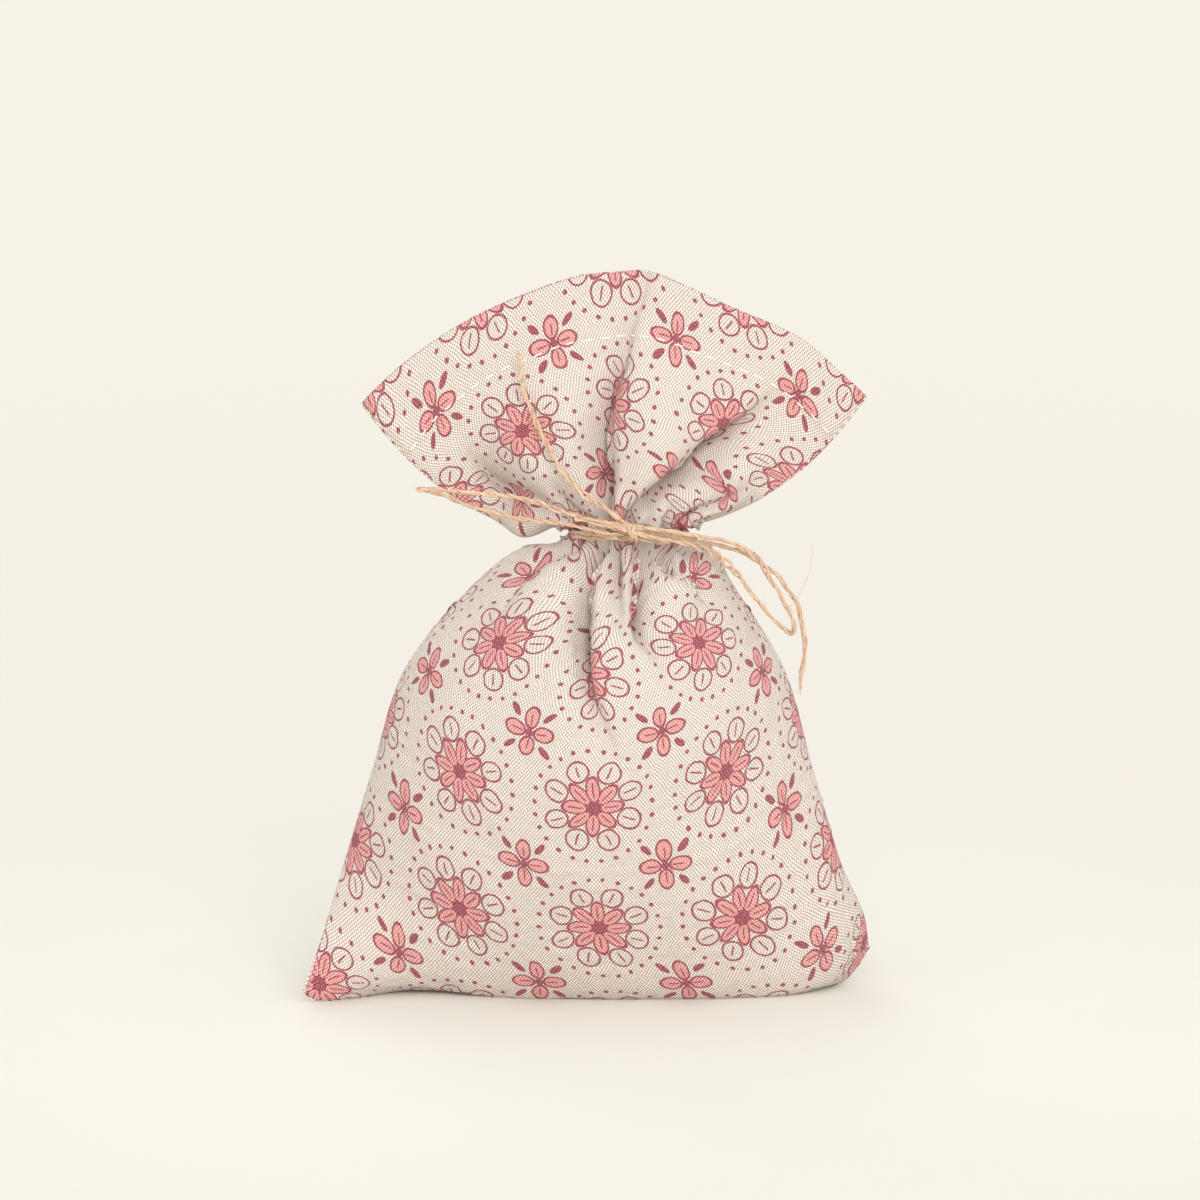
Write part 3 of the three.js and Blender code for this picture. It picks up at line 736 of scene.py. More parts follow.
def group(piece, name, weights):
    """A vertex group that holds one weight for each vertex."""
    made = piece.vertex_groups.new(name=name)
    levels = np.round(weights * GROUP_LEVELS).astype(int)
    for level in np.unique(levels):
        made.add(np.nonzero(levels == level)[0].tolist(), level / GROUP_LEVELS, "REPLACE")
    return made.name


def relax(front, back, height):
    """Lets both panels settle as one closed tube of cloth that is a little too wide for its
    place, so that it wrinkles, with the filling's pressure inside it."""
    rows, columns = front.shape[:2]
    front_index = np.arange(rows * columns).reshape(rows, columns)
    back_index = np.zeros_like(front_index)
    back_index[1:, 1:-1] = rows * columns + np.arange((rows - 1) * (columns - 2)).reshape(
        rows - 1, columns - 2)
    back_index[:, 0], back_index[:, -1] = front_index[:, 0], front_index[:, -1]
    back_index[0] = front_index[0]
    points = np.concatenate([front.reshape(-1, 3), back[1:, 1:-1].reshape(-1, 3)])
    faces = [grid_faces(front_index), grid_faces(back_index, turned=True)]

    mm, across = np.broadcast_arrays(height[:, None] / MM, np.abs(np.linspace(-1, 1, columns)))
    low = 1 - smooth((mm * MM + BODY_CLOTH) / (BOTTOM_HOLD_FADE * MM))
    neck = 1 - smooth((np.abs(mm) - NECK_HOLD) / NECK_HOLD_FADE)
    seam = smooth((across - SEAM_HOLD) / SEAM_HOLD_FADE)
    upper = smooth((mm + NECK_HOLD) / NECK_HOLD_FADE)
    hold = np.maximum.reduce([BODY_HOLD + RUFFLE_HOLD * upper, BOTTOM_HOLD * low, neck, seam])
    push = (1 - upper) * (1 - low)
    spare = np.maximum(1 - smooth(np.abs(mm) / SPARE_REACH), BODY_SPARE * (1 - low))
    spare = spare * (1 - SEAM_FIRMNESS * seam)

    def spread(values):
        return np.concatenate([values.ravel(), values[1:, 1:-1].ravel()])

    piece = make_mesh("cloth_tube", points * SIM_SCALE, np.concatenate(faces).tolist())
    names = [group(piece, name, spread(np.clip(values, 0, 1))) for name, values in
             (("hold", hold), ("push", push), ("firm", 1 - spare))]
    modifier = piece.modifiers.new("cloth", "CLOTH")
    settings = modifier.settings
    for key, value in CLOTH_SETTINGS.items():
        setattr(settings, key, value)
    (settings.vertex_group_mass, settings.vertex_group_pressure,
     settings.vertex_group_shrink) = names
    settings.effector_weights.gravity = 0.15
    modifier.collision_settings.use_collision = False
    modifier.collision_settings.use_self_collision = False
    scene = bpy.context.scene
    for frame_number in range(1, SIM_FRAMES + 1):
        scene.frame_set(frame_number)
    settled = piece.evaluated_get(bpy.context.evaluated_depsgraph_get())
    moved = np.zeros(len(points) * 3)
    settled.data.vertices.foreach_get("co", moved)
    moved = moved.reshape(-1, 3) / SIM_SCALE - points
    scene.frame_set(1)
    bpy.data.objects.remove(piece)

    reach = mix(SIM_REACH, RUFFLE_REACH, spread(upper))[:, None]
    far = np.linalg.norm(moved, axis=1, keepdims=True)
    moved = moved / np.maximum(far, 1e-9) * reach * np.tanh(far / reach)
    points = points + moved
    return points[front_index], points[back_index]


NOD_PIVOT = (NECK_X, 0, 0.1035)
NOD_STEPS = (-20, -10, 0, 10, 20)
END_GAP = 1.6 * MM
END_VALLEY = 7 * MM
END_STEP = 0.8 * MM
END_SOFTNESS = 0.2 * MM
END_FROM = 5 * MM
END_TO = 46 * MM


def press_under_end(front, height):
    """Keeps the front layer behind the upper end of the twine, wherever the two nod to. They
    turn about places that are not the same, so the end slides a little along the cloth."""
    route = smooth_path(UPPER_END, END_STEP)
    arm = np.array(KNOT) - NOD_PIVOT
    swept = []
    for degrees in NOD_STEPS:
        turn = math.radians(-degrees)
        back = np.array([arm[0], arm[1] * math.cos(turn) - arm[2] * math.sin(turn),
                         arm[1] * math.sin(turn) + arm[2] * math.cos(turn)])
        swept.append(route + back - arm)
    swept = np.concatenate(swept)
    rows = np.nonzero((height > END_FROM) & (height < END_TO))[0]
    part = front[rows]
    far = np.linalg.norm(part[:, :, None, ::2] - swept[:, ::2], axis=-1)
    limit = np.max(swept[:, 1] + END_GAP - far ** 2 / END_VALLEY, axis=-1)
    share = smooth((height[rows] - END_FROM) / (4 * MM))[:, None]
    push = END_SOFTNESS * np.logaddexp(0, (limit - part[..., 1]) / END_SOFTNESS)
    front = front.copy()
    front[rows, :, 1] += push * share
    return front


FLAT_UNDER, FLAT_FADE = -50 * MM, 12 * MM
CORNER_BAND, CORNER_FADE = 26 * MM, 8 * MM
BOTTOM_BAND, BOTTOM_FADE = 8 * MM, 6 * MM
LAYER_GAP = 0.3 * MM
RUFFLE_GAP = 1.5 * MM
HEM_GAP = 3.2 * MM


def part_layers(front, back, height):
    """Keeps the two layers apart by their own thickness, except at the seams that join them."""
    across = (1 - np.abs(np.linspace(-1, 1, front.shape[1]))) * CLOTH_WIDTH / 2
    up = height + BODY_CLOTH
    edge = smooth(across / SEAM_EDGE) * smooth(up / SEAM_EDGE)[:, None]
    flat_part = (1 - smooth((height[:, None] - FLAT_UNDER) / FLAT_FADE)) * np.maximum(
        1 - smooth((across - CORNER_BAND) / CORNER_FADE),
        1 - smooth((up - BOTTOM_BAND) / BOTTOM_FADE)[:, None])
    need = (2 * CLOTH_THICKNESS + LAYER_GAP) * edge * flat_part
    for _ in range(3):
        outward = unit(grid_normals(front, -1) - grid_normals(back, 1))
        apart = np.sum((front - back) * outward, axis=-1)
        push = (np.clip(need - apart, 0, 2 * MM) / 2)[..., None] * outward
        front, back = front + push, back - push

    hem = smooth((height - RUFFLE_CLOTH + HEM_DEPTH + 1 * MM) / MM)
    share = smooth((height - 3 * MM) / (6 * MM))[:, None]
    apart = mix(RUFFLE_GAP, HEM_GAP, hem)[:, None] * share * edge
    middle = (front[..., 1] + back[..., 1]) / 2
    half = np.maximum((back[..., 1] - front[..., 1]) / 2, apart / 2)
    front[..., 1] = mix(front[..., 1], middle - half, share)
    back[..., 1] = mix(back[..., 1], middle + half, share)
    for grid in (front, back):
        grid[..., 2] = np.maximum(grid[..., 2], 0)
    return front, back


# Cloth pieces

FINAL_COLUMNS = 208
FINAL_ROWS = 290


def sheet_solid(name, outer, inner, flat, side):
    """A closed sheet between two grids. The outer one faces away from the pouch's middle."""
    m, n = outer.shape[:2]
    index = np.arange(2 * m * n).reshape(2, m, n)
    edge = np.concatenate([index[:, 0, :].T, index[:, 1:, -1].T, index[:, -1, -2::-1].T,
                           index[:, -2::-1, 0].T])
    rim = np.stack([edge[1:, 0], edge[:-1, 0], edge[:-1, 1], edge[1:, 1]], -1)
    faces = [grid_faces(index[0], side > 0), grid_faces(index[1], side < 0),
             rim[:, ::-1] if side > 0 else rim]
    vertices = np.concatenate([outer.reshape(-1, 3), inner.reshape(-1, 3)])
    return make_mesh(name, vertices, np.concatenate(faces).tolist(),
                     np.concatenate([flat.reshape(-1, 2)] * 2))


RIPPLE_COUNT = 14
RIPPLE_SHARE = 0.0022
RIPPLE_SIDE_BAND = 0.1
RIPPLE_BOTTOM_BAND = 12 * MM
HEM_STEP = 0.7 * MM
MOUTH_ROUND = 0.8 * MM
MOUTH_THINNING = 0.35
SEAM_THINNING = 0.3


def ripples(across, height, seed):
    """Small soft unevenness of the cloth, in metres, from places in mm."""
    random = np.random.default_rng(seed)
    total = 0
    for _ in range(RIPPLE_COUNT):
        wave = random.uniform(9, 30)
        turn = random.uniform(0, 2 * np.pi)
        total = total + wave * np.sin(2 * np.pi / wave * (
            across * math.cos(turn) + height * math.sin(turn)) + random.uniform(0, 6.28))
    return total * RIPPLE_SHARE * MM


def fine_panel(grid, height, lengths, side):
    """The panel's outer and inner faces on a finer grid, its normals, where each point is when
    flat and where it is on the print."""
    columns = cubic_matrix(grid.shape[1], FINAL_COLUMNS + 1)
    rows = cubic_matrix(grid.shape[0], FINAL_ROWS + 1)
    outer = np.einsum("ai,ibk->abk", rows, np.einsum("ijk,bj->ibk", grid, columns))
    height, lengths = rows @ height, rows @ lengths
    across = np.linspace(-CLOTH_WIDTH / 2, CLOTH_WIDTH / 2, FINAL_COLUMNS + 1)
    flat = np.stack(np.meshgrid(across, height), -1) / MM
    printed = flat.copy()
    printed[..., 0] *= (np.minimum(lengths / CLOTH_WIDTH, 1) ** UV_SHARE)[:, None]
    if side > 0:
        printed = BACK_PRINT - printed * (1, -1)
    edge = smooth((1 - np.abs(across) / (CLOTH_WIDTH / 2)) / RIPPLE_SIDE_BAND) * smooth(
        (height + BODY_CLOTH)[:, None] / RIPPLE_BOTTOM_BAND)
    outer = outer + grid_normals(outer, side) * (
        ripples(flat[..., 0], flat[..., 1], 5 + side) * edge)[..., None]
    outer[..., 2] = np.maximum(outer[..., 2], 0)
    hem = smooth((height - RUFFLE_CLOTH + HEM_DEPTH) / HEM_STEP)
    thickness = mix(CLOTH_THICKNESS, HEM_THICKNESS, hem)
    thickness *= 1 - MOUTH_THINNING * smooth((height - RUFFLE_CLOTH + MOUTH_ROUND) / MOUTH_ROUND)
    seam = smooth((CLOTH_WIDTH / 2 - np.abs(across)) / SEAM_EDGE) * smooth(
        (height + BODY_CLOTH) / SEAM_EDGE)[:, None]
    thickness = thickness[:, None] * mix(SEAM_THINNING, 1, seam)
    normal = grid_normals(outer, side)
    inner = outer - normal * thickness[..., None]
    inner[..., 2] = np.maximum(inner[..., 2], 0.5 * CLOTH_THICKNESS * (outer[..., 2] < 1 * MM))
    return outer, inner, normal, flat, printed, height


def at_flat(grid, flat, across, height):
    """The grid's value at a place on the flat cloth, in mm."""
    column = np.interp(across, flat[0, :, 0], np.arange(flat.shape[1]))
    row = np.interp(height, flat[:, 0, 1], np.arange(flat.shape[0]))
    i, j = min(int(row), flat.shape[0] - 2), min(int(column), flat.shape[1] - 2)
    a, b = row - i, column - j
    return ((1 - a) * (1 - b) * grid[i, j] + (1 - a) * b * grid[i, j + 1]
            + a * (1 - b) * grid[i + 1, j] + a * b * grid[i + 1, j + 1])


STITCH_LENGTH = 2.2
STITCH_PITCH = 4.4
STITCH_RADIUS = 0.19 * MM
STITCH_LIFT = 0.24 * MM
STITCH_SINK = 0.1 * MM
STITCH_MARGINS = (2.5, 4)


def hem_stitches(name, outer, normal, flat):
    """A running stitch of thread along the hem, half a stitch showing and half hidden."""
    parts = Parts()
    random = np.random.default_rng(12)
    height = (RUFFLE_CLOTH - HEM_DEPTH) / MM
    places = np.arange(-CLOTH_WIDTH / 2 / MM + STITCH_MARGINS[0],
                       CLOTH_WIDTH / 2 / MM - STITCH_MARGINS[1], STITCH_PITCH)
    for place in places:
        start = place + random.uniform(-0.2, 0.2)
        length = STITCH_LENGTH + random.uniform(-0.25, 0.25)
        level = height + random.uniform(-0.15, 0.15)
        path = []
        for share in np.linspace(0, 1, 7):
            spot = start + length * share
            point = at_flat(outer, flat, spot, level)
            lift = STITCH_LIFT * math.sin(math.pi * share) - STITCH_SINK
            path.append(point + lift * at_flat(normal, flat, spot, level))
        tube(parts, path, STITCH_RADIUS, 6)
    piece = parts.build(name)
    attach(piece, "ruffle")
    return piece


ALLOWANCE_TOP = -46 * MM
ALLOWANCE_GAP = 0.15 * MM


def seam_allowance(name, inner, normal, flat, height, first, last):
    """The cloth beyond the side seam, folded flat against the back panel."""
    part = slice(6, int(np.searchsorted(height, ALLOWANCE_TOP))), slice(first, last)
    near_face = inner[part] - normal[part] * ALLOWANCE_GAP
    far_face = near_face - normal[part] * CLOTH_THICKNESS
    piece = sheet_solid(name, near_face, far_face, flat[part], 1)
    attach(piece, "pouch")
    return piece


BUD_GAP = 2.2 * MM
BUD_SIZE = 0.9 * MM
BUD_REACH = 5
FILLING_TOP = -13 * MM
FILLING_SIDE = 16


def make_filling(front, back, height):
    """A lumpy mass of dried buds that fills the body inside the creases."""
    top = int(np.searchsorted(height, FILLING_TOP))
    rows = np.arange(4, top, 2)
    columns = np.arange(FILLING_SIDE, front.shape[1] - FILLING_SIDE + 1, 2)
    low = near(front[..., 1], BUD_REACH, np.max) + BUD_GAP
    high = near(back[..., 1], BUD_REACH, np.min) - BUD_GAP
    middle, half = (low + high) / 2, (high - low) / 2
    random = np.random.default_rng(31)
    sheets = []
    for grid, side in ((front, -1), (back, 1)):
        lumps = random.uniform(0, BUD_SIZE, half.shape)
        shape = grid.copy()
        shape[..., 0] = near(grid[..., 0], 2, np.mean)
        shape[..., 1] = middle + side * np.maximum(half - lumps, 0.03 * MM)
        shape[..., 2] = np.maximum(near(grid[..., 2], 2, np.mean), BUD_GAP)
        sheets.append(shape[np.ix_(rows, columns)])
    flat = np.zeros((*sheets[0].shape[:2], 2))
    piece = sheet_solid("bud_filling", sheets[0], sheets[1], flat, -1)
    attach(piece, "pouch")
    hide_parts("filling")
    return piece


# Knot and winding

# The turns that hold the knot: how many, how far on each one lies and half their depth and
# height, in mm
BAND_TURNS = 2.4
BAND_PITCH = 0.75
BAND_HALF_DEPTH = 1.45
BAND_HALF_HEIGHT = 1.6

# Strands that lie along the slanted bundle of the knot: how far they bow up, how far back they
# lie and where they start and end, in mm from the knot
BUNDLE = ((0.9, -0.9, -11.5, 6.5), (0.1, -0.8, -8.5, 9), (0.5, -1.3, -6.5, 4.5))


def make_knot():
    """The bundle of strands in the knot, with the turns that hold it."""
    parts = Parts()
    x, y, z = KNOT
    turns = np.linspace(0, BAND_TURNS, 40)
    swing, rise = np.cos(2 * np.pi * turns), np.sin(2 * np.pi * turns)
    band = np.stack([x + (0.2 + BAND_PITCH * turns) * MM - 0.35 * MM * rise,
                     y + BAND_HALF_DEPTH * MM * swing,
                     z - 0.1 * MM + BAND_HALF_HEIGHT * MM * rise - 0.2 * MM * turns], 1)
    strands = [band]
    for lift, out, start, end in BUNDLE:
        share = np.linspace(0, 1, 12)
        along = mix(start, end, share) * MM
        strands.append(np.stack([x + along,
                                 y + (out + 0.9 * share ** 2) * MM,
                                 z + lift * MM * np.sin(np.pi * np.clip(share * 1.1, 0, 1))
                                 - 0.25 * along - 0.15 * MM], 1))
    links = ((LEFT_LOOP[0], RIGHT_LOOP[0], -0.6), (LEFT_LOOP[-1], RIGHT_END[0], 0.5),
             (UPPER_END[0], RIGHT_LOOP[-1], -0.1), (LEFT_LOOP[1], RIGHT_LOOP[0], 0.3))
    for start, end, bulge in links:
        start, end = np.array(start), np.array(end)
        share = np.linspace(0, 1, 9)[:, None]
        arc = start + (end - start) * share
        arc[:, 1:2] += bulge * MM * np.sin(np.pi * share)
        strands.append(arc)
    for seed, strand in enumerate(strands):
        path = smooth_path(strand, PLY_STEP)
        two_ply(parts, path, 20 + seed)
        fibres(parts, path, 14, 60 + seed, 3 * MM)
    piece = parts.build("tied_knot")
    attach(piece, "pouch")
    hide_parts("bow_knot")
    return piece


def make_winding():
    parts = Parts()
    path = smooth_path(winding_route(), PLY_STEP)
    two_ply(parts, path, 7)
    fibres(parts, path, 70, 77, 2 * MM)
    piece = parts.build("neck_winding")
    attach(piece, "pouch")
    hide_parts("neck_twine")
    return piece


def make_stray_fibre():
    """One long thin fibre that stands off the right loop."""
    parts = Parts()
    path = smooth_path([(0.0432, -0.0114, 0.0866), (0.0450, -0.0117, 0.0884),
                        (0.0466, -0.0119, 0.0915), (0.0480, -0.0118, 0.0948),
                        (0.0485, -0.0115, 0.0980), (0.0486, -0.0112, 0.1008)], 0.5 * MM)
    tube(parts, path, np.linspace(0.075, 0.045, len(path)) * MM, 5)
    piece = parts.build("stray_fibre")
    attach(piece, "right_bow")
    return piece


# Materials

def fill(tree, slot, value):
    """Joins a value or a socket to a node's input, or sets the number there."""
    if isinstance(value, Value):
        value = value.socket
    if isinstance(value, bpy.types.NodeSocket):
        tree.links.new(value, slot)
    else:
        slot.default_value = value


class Value:
    """A number in a material's nodes, so that sums can be written out plainly."""

    def __init__(self, tree, socket):
        self.tree, self.socket = tree, socket

    def calc(self, operation, *others):
        node = self.tree.nodes.new("ShaderNodeMath")
        node.operation = operation
        for slot, value in zip(node.inputs, (self, *others)):
            fill(self.tree, slot, value)
        return Value(self.tree, node.outputs[0])

    def __add__(self, other):
        return self.calc("ADD", other)

    def __sub__(self, other):
        return self.calc("SUBTRACT", other)

    def __mul__(self, other):
        return self.calc("MULTIPLY", other)

    def __truediv__(self, other):
        return self.calc("DIVIDE", other)

    def most(self, other):
        return self.calc("MAXIMUM", other)

    def root(self):
        return self.calc("SQRT")

    def flip(self):
        return self * -1 + 1

    def step(self, low, high):
        """0 below low, 1 above high and smooth between them."""
        node = self.tree.nodes.new("ShaderNodeMapRange")
        node.interpolation_type = "SMOOTHSTEP"
        for key, value in (("Value", self), ("From Min", low), ("From Max", high)):
            fill(self.tree, node.inputs[key], value)
        return Value(self.tree, node.outputs["Result"])

    def near(self, place, width, soft):
        """1 within width of place, 0 beyond it."""
        return (self - place).calc("ABSOLUTE").step(width - soft, width + soft).flip()


class Shader:
    """A material of one Principled shader, with helpers for its nodes."""

    def __init__(self, name, roughness, sheen=0.0):
        self.material = bpy.data.materials.new(name)
        self.material.use_nodes = True
        self.tree = self.material.node_tree
        self.shader = self.tree.nodes["Principled BSDF"]
        self.set({"Roughness": roughness, "Specular IOR Level": 0.25, "Sheen Weight": sheen,
                  "Sheen Roughness": 0.5})

    def set(self, inputs, node=None):
        for key, value in inputs.items():
            fill(self.tree, (node or self.shader).inputs[key], value)

    def node(self, kind, inputs=None, **settings):
        """A node with what goes into it, by the names or numbers of its inputs."""
        node = self.tree.nodes.new(kind)
        for key, value in settings.items():
            setattr(node, key, value)
        self.set(inputs or {}, node)
        return node

    def split(self, vector):
        node = self.node("ShaderNodeSeparateXYZ", {0: vector})
        return [Value(self.tree, socket) for socket in node.outputs]

    def join(self, x, y, z=0.0):
        return self.node("ShaderNodeCombineXYZ", {0: x, 1: y, 2: z}).outputs[0]

    def flat(self):
        """The two coordinates of the cloth when flat, in mm."""
        return self.split(self.node("ShaderNodeUVMap", uv_map="flat").outputs["UV"])[:2]

    def place(self):
        """The object's own coordinates."""
        return self.node("ShaderNodeTexCoord").outputs["Object"]

    def noise(self, vector, scale, detail=2.0, rough=0.5):
        node = self.node("ShaderNodeTexNoise", {"Vector": vector, "Scale": scale,
                                                "Detail": detail, "Roughness": rough})
        return Value(self.tree, node.outputs["Fac"])

    def blend(self, share, low, high):
        """A colour between two, each a colour socket or red, green and blue out of 255."""
        ends = [(*linear(end), 1) if isinstance(end, tuple) else end for end in (low, high)]
        return self.node("ShaderNodeMix", {"Factor": share, 6: ends[0], 7: ends[1]},
                         data_type="RGBA").outputs[2]

    def finish(self, colour, height, distance):
        """Joins the colour and the bump. height runs from 0 to 1 and distance is in metres."""
        bump = self.node("ShaderNodeBump", {"Distance": distance, "Height": height})
        self.set({"Base Color": colour, "Normal": bump.outputs[0]})
        return self.material


def linear(colour):
    """Red, green and blue out of 255 as a linear colour."""
    return tuple(c / 255 / 12.92 if c <= 10 else ((c / 255 + 0.055) / 1.055) ** 2.4
                 for c in colour)


THREAD_ACROSS = 0.73
THREAD_ALONG = 1.0
FLOWER_PITCH = 31.0
DOTS_ROUND = 26


DOT_RING = 13.1

# Rings of petals and leaves: how many, and in mm how far out the middle of each lies, half its
# length and half its width
INNER_PETALS = (8, 4.1, 2.8, 1.4)
OUTER_PETALS = (8, 8.6, 2.5, 2.3)
SMALL_PETALS = (4, 3.3, 2.3, 1.55)
LEAVES = (4, 5.6, 1.7, 0.75)


def size(*sides):
    """The root of the sum of their squares."""
    total = sides[0] * sides[0]
    for side in sides[1:]:
        total = total + side * side
    return total.root()


def rotated(x, y, angle):
    """The two coordinates after a turn."""
    c, s = math.cos(angle), math.sin(angle)
    return x * c - y * s, x * s + y * c


def on_spoke(x, y, count):
    """The coordinates along and across the nearest of so many spokes."""
    turn = y.calc("ARCTAN2", x).calc("WRAP", math.pi / count, -math.pi / count)
    radius = size(x, y)
    return radius * turn.calc("COSINE"), radius * turn.calc("SINE")


def petals(x, y, count, middle, long, wide):
    """How far out of the nearest petal a point is, 1 at its edge, and the coordinates along
    and across the petal."""
    along, over = on_spoke(x, y, count)
    return size((along - middle) / long, over / wide), along, over


def veins(along, over, wide, middle, long):
    """A short line along the middle of each petal."""
    return over.near(0, wide, 0.1) * along.near(middle, long, 0.3)


def flower_print(x, y):
    """The print on the flat cloth: masks of its pink fill and of its dark lines."""
    half = FLOWER_PITCH / 2
    u, v = x.calc("WRAP", half, -half), y.calc("WRAP", half, -half)
    inner, along, over = petals(u, v, *INNER_PETALS)
    pink = inner.step(0.94, 1.02).flip()
    line = inner.near(1.0, 0.13, 0.05)
    vein = veins(along, over, 0.16, 4.0, 1.6)
    outer, along, over = petals(*rotated(u, v, math.pi / 8), *OUTER_PETALS)
    line = line.most(outer.near(1.0, 0.1, 0.04) * inner.step(1.02, 1.1))
    vein = vein.most(veins(along, over, 0.2, 8.6, 1.4))
    disc = size(u, v).step(1.15, 1.35).flip()
    ring_x, ring_y = on_spoke(u, v, DOTS_ROUND)
    dots = size(ring_x - DOT_RING, ring_y).step(0.42, 0.62).flip()

    s, t = (x + half).calc("WRAP", half, -half), (y + half).calc("WRAP", half, -half)
    small, along, over = petals(s, t, *SMALL_PETALS)
    pink = pink.most(small.step(0.94, 1.02).flip())
    line = line.most(small.near(1.0, 0.13, 0.05))
    vein = vein.most(veins(along, over, 0.16, 2.8, 1.2))
    disc = disc.most(size(s, t).step(0.8, 1.0).flip())
    leaf = petals(*rotated(s, t, math.pi / 4), *LEAVES)[0].step(0.9, 1.1).flip()
    return pink, line.most(vein).most(disc).most(dots).most(leaf)


CLOTH_COLOURS = ((180, 160, 145), (255, 249, 241))
UNEVEN_COLOUR = (203, 187, 174)
ROSE_COLOURS = ((196, 118, 116), (243, 184, 176))
CRIMSON_COLOURS = ((128, 36, 58), (166, 62, 84))


def cloth_material(printed=True):
    made = Shader("printed_cloth" if printed else "plain_cloth", roughness=0.92, sheen=0.12)
    x, y = made.flat()
    place = made.join(x, y)
    drift = made.noise(place, 0.16) - 0.5
    wobble = made.noise(place, 0.75) - 0.5
    u = (x + drift * 1.2 + wobble * 0.22) / THREAD_ACROSS
    v = (y + drift * 1.0 + wobble * 0.22) / THREAD_ALONG
    weave = (u * (2 * math.pi)).calc("COSINE") * (v * (2 * math.pi)).calc("COSINE")
    weave = weave * 0.5 + 0.5
    grain = weave.step(0.32, 0.76)
    lengthwise = made.noise(made.join(x * 1.4, y * 0.05), 1.0, 3.0)
    crosswise = made.noise(made.join(x * 0.05, y * 1.0), 1.0, 3.0)
    fleck = made.noise(made.join(x * 1.3, y * 1.0), 1.6, 2.0)
    colour = made.blend(grain, *CLOTH_COLOURS)
    uneven = ((lengthwise + crosswise) * 0.5 + (fleck - 0.5) * 0.5).step(0.3, 0.7)
    colour = made.blend(uneven * 0.34, colour, UNEVEN_COLOUR)
    if printed:
        bend = made.noise(place, 0.12, 1.0) - 0.5
        pink, dark = flower_print(x + bend * 1.6 + wobble * 0.3, y - bend * 1.4 + wobble * 0.3)
        worn = made.noise(place, 2.6, 3.0).step(0.3, 0.62)
        colour = made.blend(pink * (worn * 0.2 + 0.76), colour,
                            made.blend(grain, *ROSE_COLOURS))
        colour = made.blend(dark * (worn * 0.22 + 0.74), colour,
                            made.blend(grain, *CRIMSON_COLOURS))
    height = grain * 0.8 + fleck * 0.2
    return made.finish(colour, height, 0.15 * MM)


def twine_material():
    made = Shader("jute", roughness=0.8, sheen=0.25)
    around, along = made.flat()
    streaks = made.noise(made.join(around * 9, along * 0.35), 1.4, 4.0, 0.65)
    patches = made.noise(made.join(around * 1.5, along * 0.22, 4.0), 1.0, 2.0)
    colour = made.blend(streaks.step(0.32, 0.66), (170, 126, 92), (250, 224, 196))
    colour = made.blend(patches.step(0.35, 0.75) * 0.6, colour, (208, 170, 134))
    return made.finish(colour, streaks, 0.08 * MM)


def thread_material():
    made = Shader("white_thread", roughness=0.7, sheen=0.2)
    around, along = made.flat()
    twist = ((along * 2.2 + around) * (2 * math.pi)).calc("SINE") * 0.5 + 0.5
    colour = made.blend(twist, (232, 226, 219), (255, 252, 248))
    return made.finish(colour, twist, 0.05 * MM)


def bud_material():
    made = Shader("dried_buds", roughness=0.95)
    place = made.place()
    buds = made.node("ShaderNodeTexVoronoi", {"Vector": place, "Scale": 420})
    cells = Value(made.tree, buds.outputs["Distance"])
    tone = made.noise(place, 260, 3.0)
    colour = made.blend(tone.step(0.35, 0.65), (92, 84, 112), (158, 146, 150))
    # Darker towards the edges of each bud's cell: painted shade in the gaps between the buds.
    colour = made.blend(cells.step(0.1, 0.9), colour, (62, 56, 66))
    return made.finish(colour, cells.flip(), 1.0 * MM)


BACKGROUND = (248, 245, 234)
FLOOR_GLOW = (245, 239, 230)
WORLD_LIGHT = 0.97


def seen_share(tree):
    """1 for what the camera, a reflection or clear material sees, 0 for light on the object."""
    path = tree.nodes.new("ShaderNodeLightPath")
    seen = Value(tree, path.outputs["Is Camera Ray"])
    for name in ("Is Glossy Ray", "Is Transmission Ray"):
        seen = seen.most(Value(tree, path.outputs[name]))
    return seen


def stage_material():
    """A pale floor that fades into an even background away from the object."""
    made = Shader("pale_floor", roughness=0.9)
    place = made.place()
    x, y, z = made.split(place)
    made.set({"Base Color": made.blend(made.noise(place, 30, 3.0), (228, 225, 216),
                                       (231, 228, 219))})
    far = size(x, y, z).step(0.3, 2.2)
    glow = made.node("ShaderNodeEmission", {"Color": made.blend(far, FLOOR_GLOW, BACKGROUND)})
    away = size(x, y).step(0.03, 0.3)
    mixer = made.node("ShaderNodeMixShader", {
        0: seen_share(made.tree) * away, 1: made.shader.outputs[0], 2: glow.outputs[0]})
    made.set({"Surface": mixer.outputs[0]}, made.tree.nodes["Material Output"])
    return made.material


def paint(piece, material):
    piece.data.materials.clear()
    piece.data.materials.append(material)


# Floor, backdrop and lights

def make_stage():
    profile = [(-3.0, 0.0), (0.9, 0.0)]
    for turn in np.linspace(0, math.pi / 2, 16)[1:]:
        profile.append((0.9 + 0.8 * math.sin(turn), 0.8 - 0.8 * math.cos(turn)))
    profile.append((1.7, 3.0))
    vertices = [(x, y, z) for x in (-3, 3) for y, z in profile]
    count = len(profile)
    faces = [(i, count + i, count + i + 1, i + 1) for i in range(count - 1)]
    floor = make_mesh("floor", vertices, faces)
    paint(floor, stage_material())


def make_light(name, place, size, power):
    data = bpy.data.lights.new(name, "AREA")
    data.size = size
    data.energy = power
    light = bpy.data.objects.new(name, data)
    light.location = place
    aim = np.array(place) - (0, 0, 0.08)
    light.rotation_euler = (math.atan2(math.hypot(aim[0], aim[1]), aim[2]), 0,
                            math.atan2(aim[1], aim[0]) + math.pi / 2)
    bpy.context.scene.collection.objects.link(light)


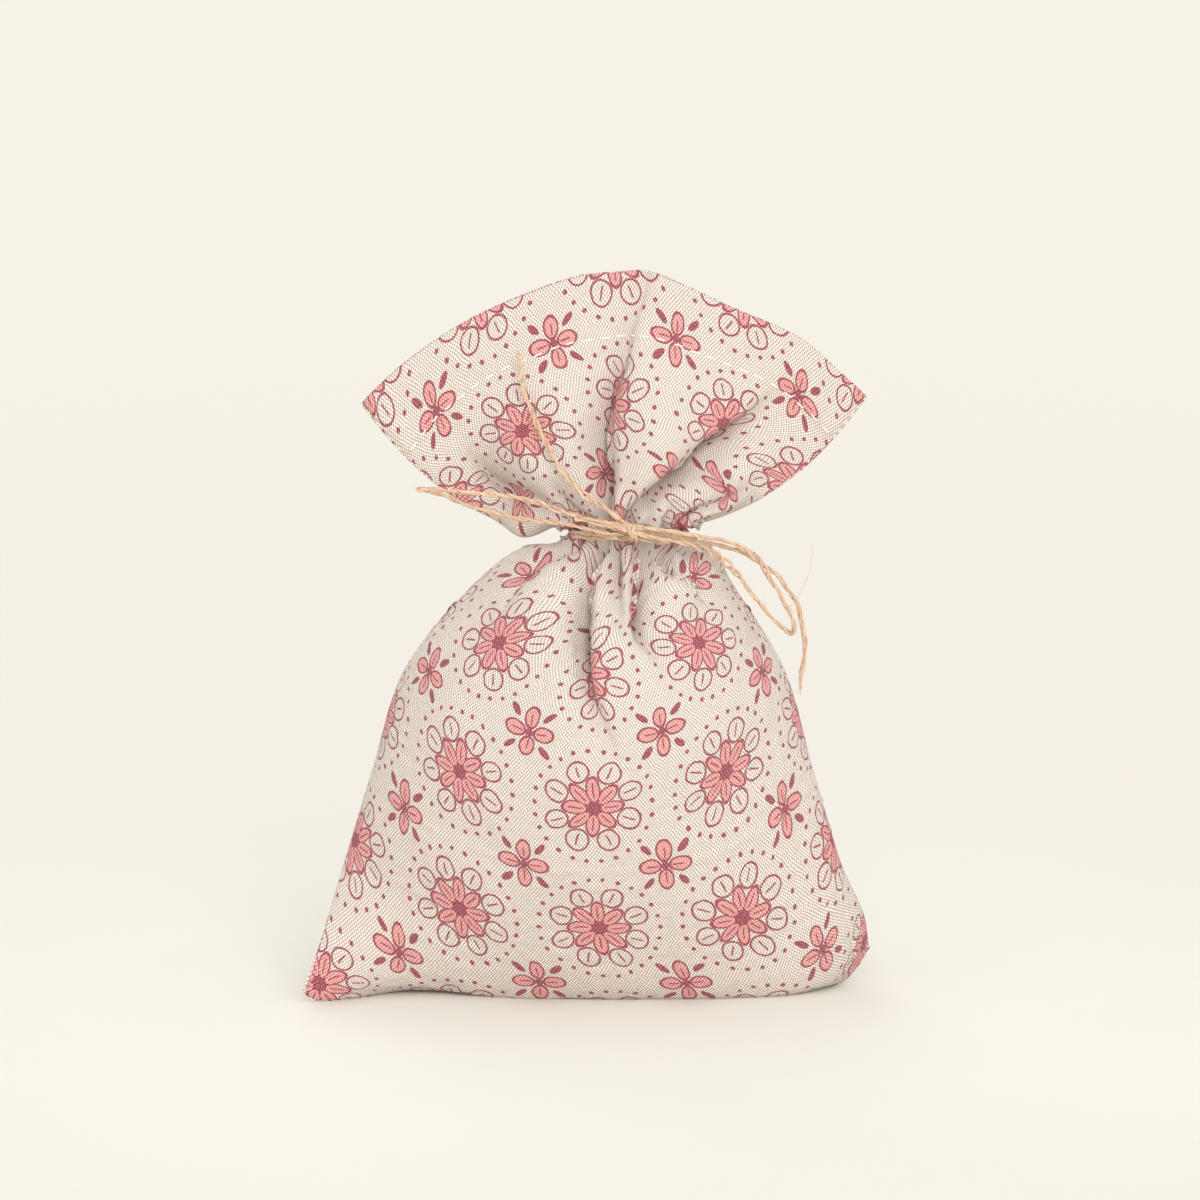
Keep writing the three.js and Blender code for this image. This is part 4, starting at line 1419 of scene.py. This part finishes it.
def light_scene():
    world = bpy.data.worlds.new("world")
    bpy.context.scene.world = world
    world.use_nodes = True
    tree = world.node_tree
    light = tree.nodes["Background"]
    shown = tree.nodes.new("ShaderNodeBackground")
    mixer = tree.nodes.new("ShaderNodeMixShader")
    for slot, value in ((light.inputs["Color"], (1, 1, 1, 1)),
                        (light.inputs["Strength"], WORLD_LIGHT),
                        (shown.inputs["Color"], (*linear(BACKGROUND), 1)),
                        (mixer.inputs[0], seen_share(tree)),
                        (mixer.inputs[1], light.outputs[0]),
                        (mixer.inputs[2], shown.outputs[0]),
                        (tree.nodes["World Output"].inputs["Surface"], mixer.outputs[0])):
        fill(tree, slot, value)
    make_light("key", (0.2, -1.1, 0.52), 0.8, 8.3)
    make_light("back_fill", (-0.3, 1.2, 0.75), 0.9, 4.5)
    bpy.context.scene.view_settings.view_transform = "Standard"


# The object

make_camera()
light_scene()
make_stage()

jute = twine_material()
for piece in (*make_free_twine(), make_winding(), make_knot(), make_stray_fibre()):
    paint(piece, jute)

front_grid, heights, front_lengths = panel_shape(-1)
back_grid, heights, back_lengths = panel_shape(1)
front_grid, back_grid = relax(front_grid, back_grid, heights)
front_grid = press_under_end(front_grid, heights)
front_grid, back_grid = part_layers(ease_folds(front_grid, LAST_EASE_ROUNDS),
                                    ease_folds(back_grid, LAST_EASE_ROUNDS), heights)

filling = make_filling(front_grid, back_grid, heights)
paint(filling, bud_material())

printed_cloth, thread = cloth_material(), thread_material()
for side, grid, lengths, name in ((-1, front_grid, front_lengths, "front"),
                                  (1, back_grid, back_lengths, "back")):
    outer, inner, normal, flat, printed, fine_heights = fine_panel(grid, heights, lengths, side)
    cloth = sheet_solid(name + "_cloth", outer, inner, printed, side)
    paint(cloth, printed_cloth)
    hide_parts(name + "_panel", name + "_ruffle")
    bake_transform(cloth)
    stitches = hem_stitches(name + "_hem_stitches", outer, normal, flat)
    paint(stitches, thread)
plain = cloth_material(printed=False)
for name, first, last in (("left", 4, 18), ("right", FINAL_COLUMNS - 17, FINAL_COLUMNS - 3)):
    paint(seam_allowance(name + "_seam_allowance", inner, normal, flat, fine_heights,
                         first, last), plain)
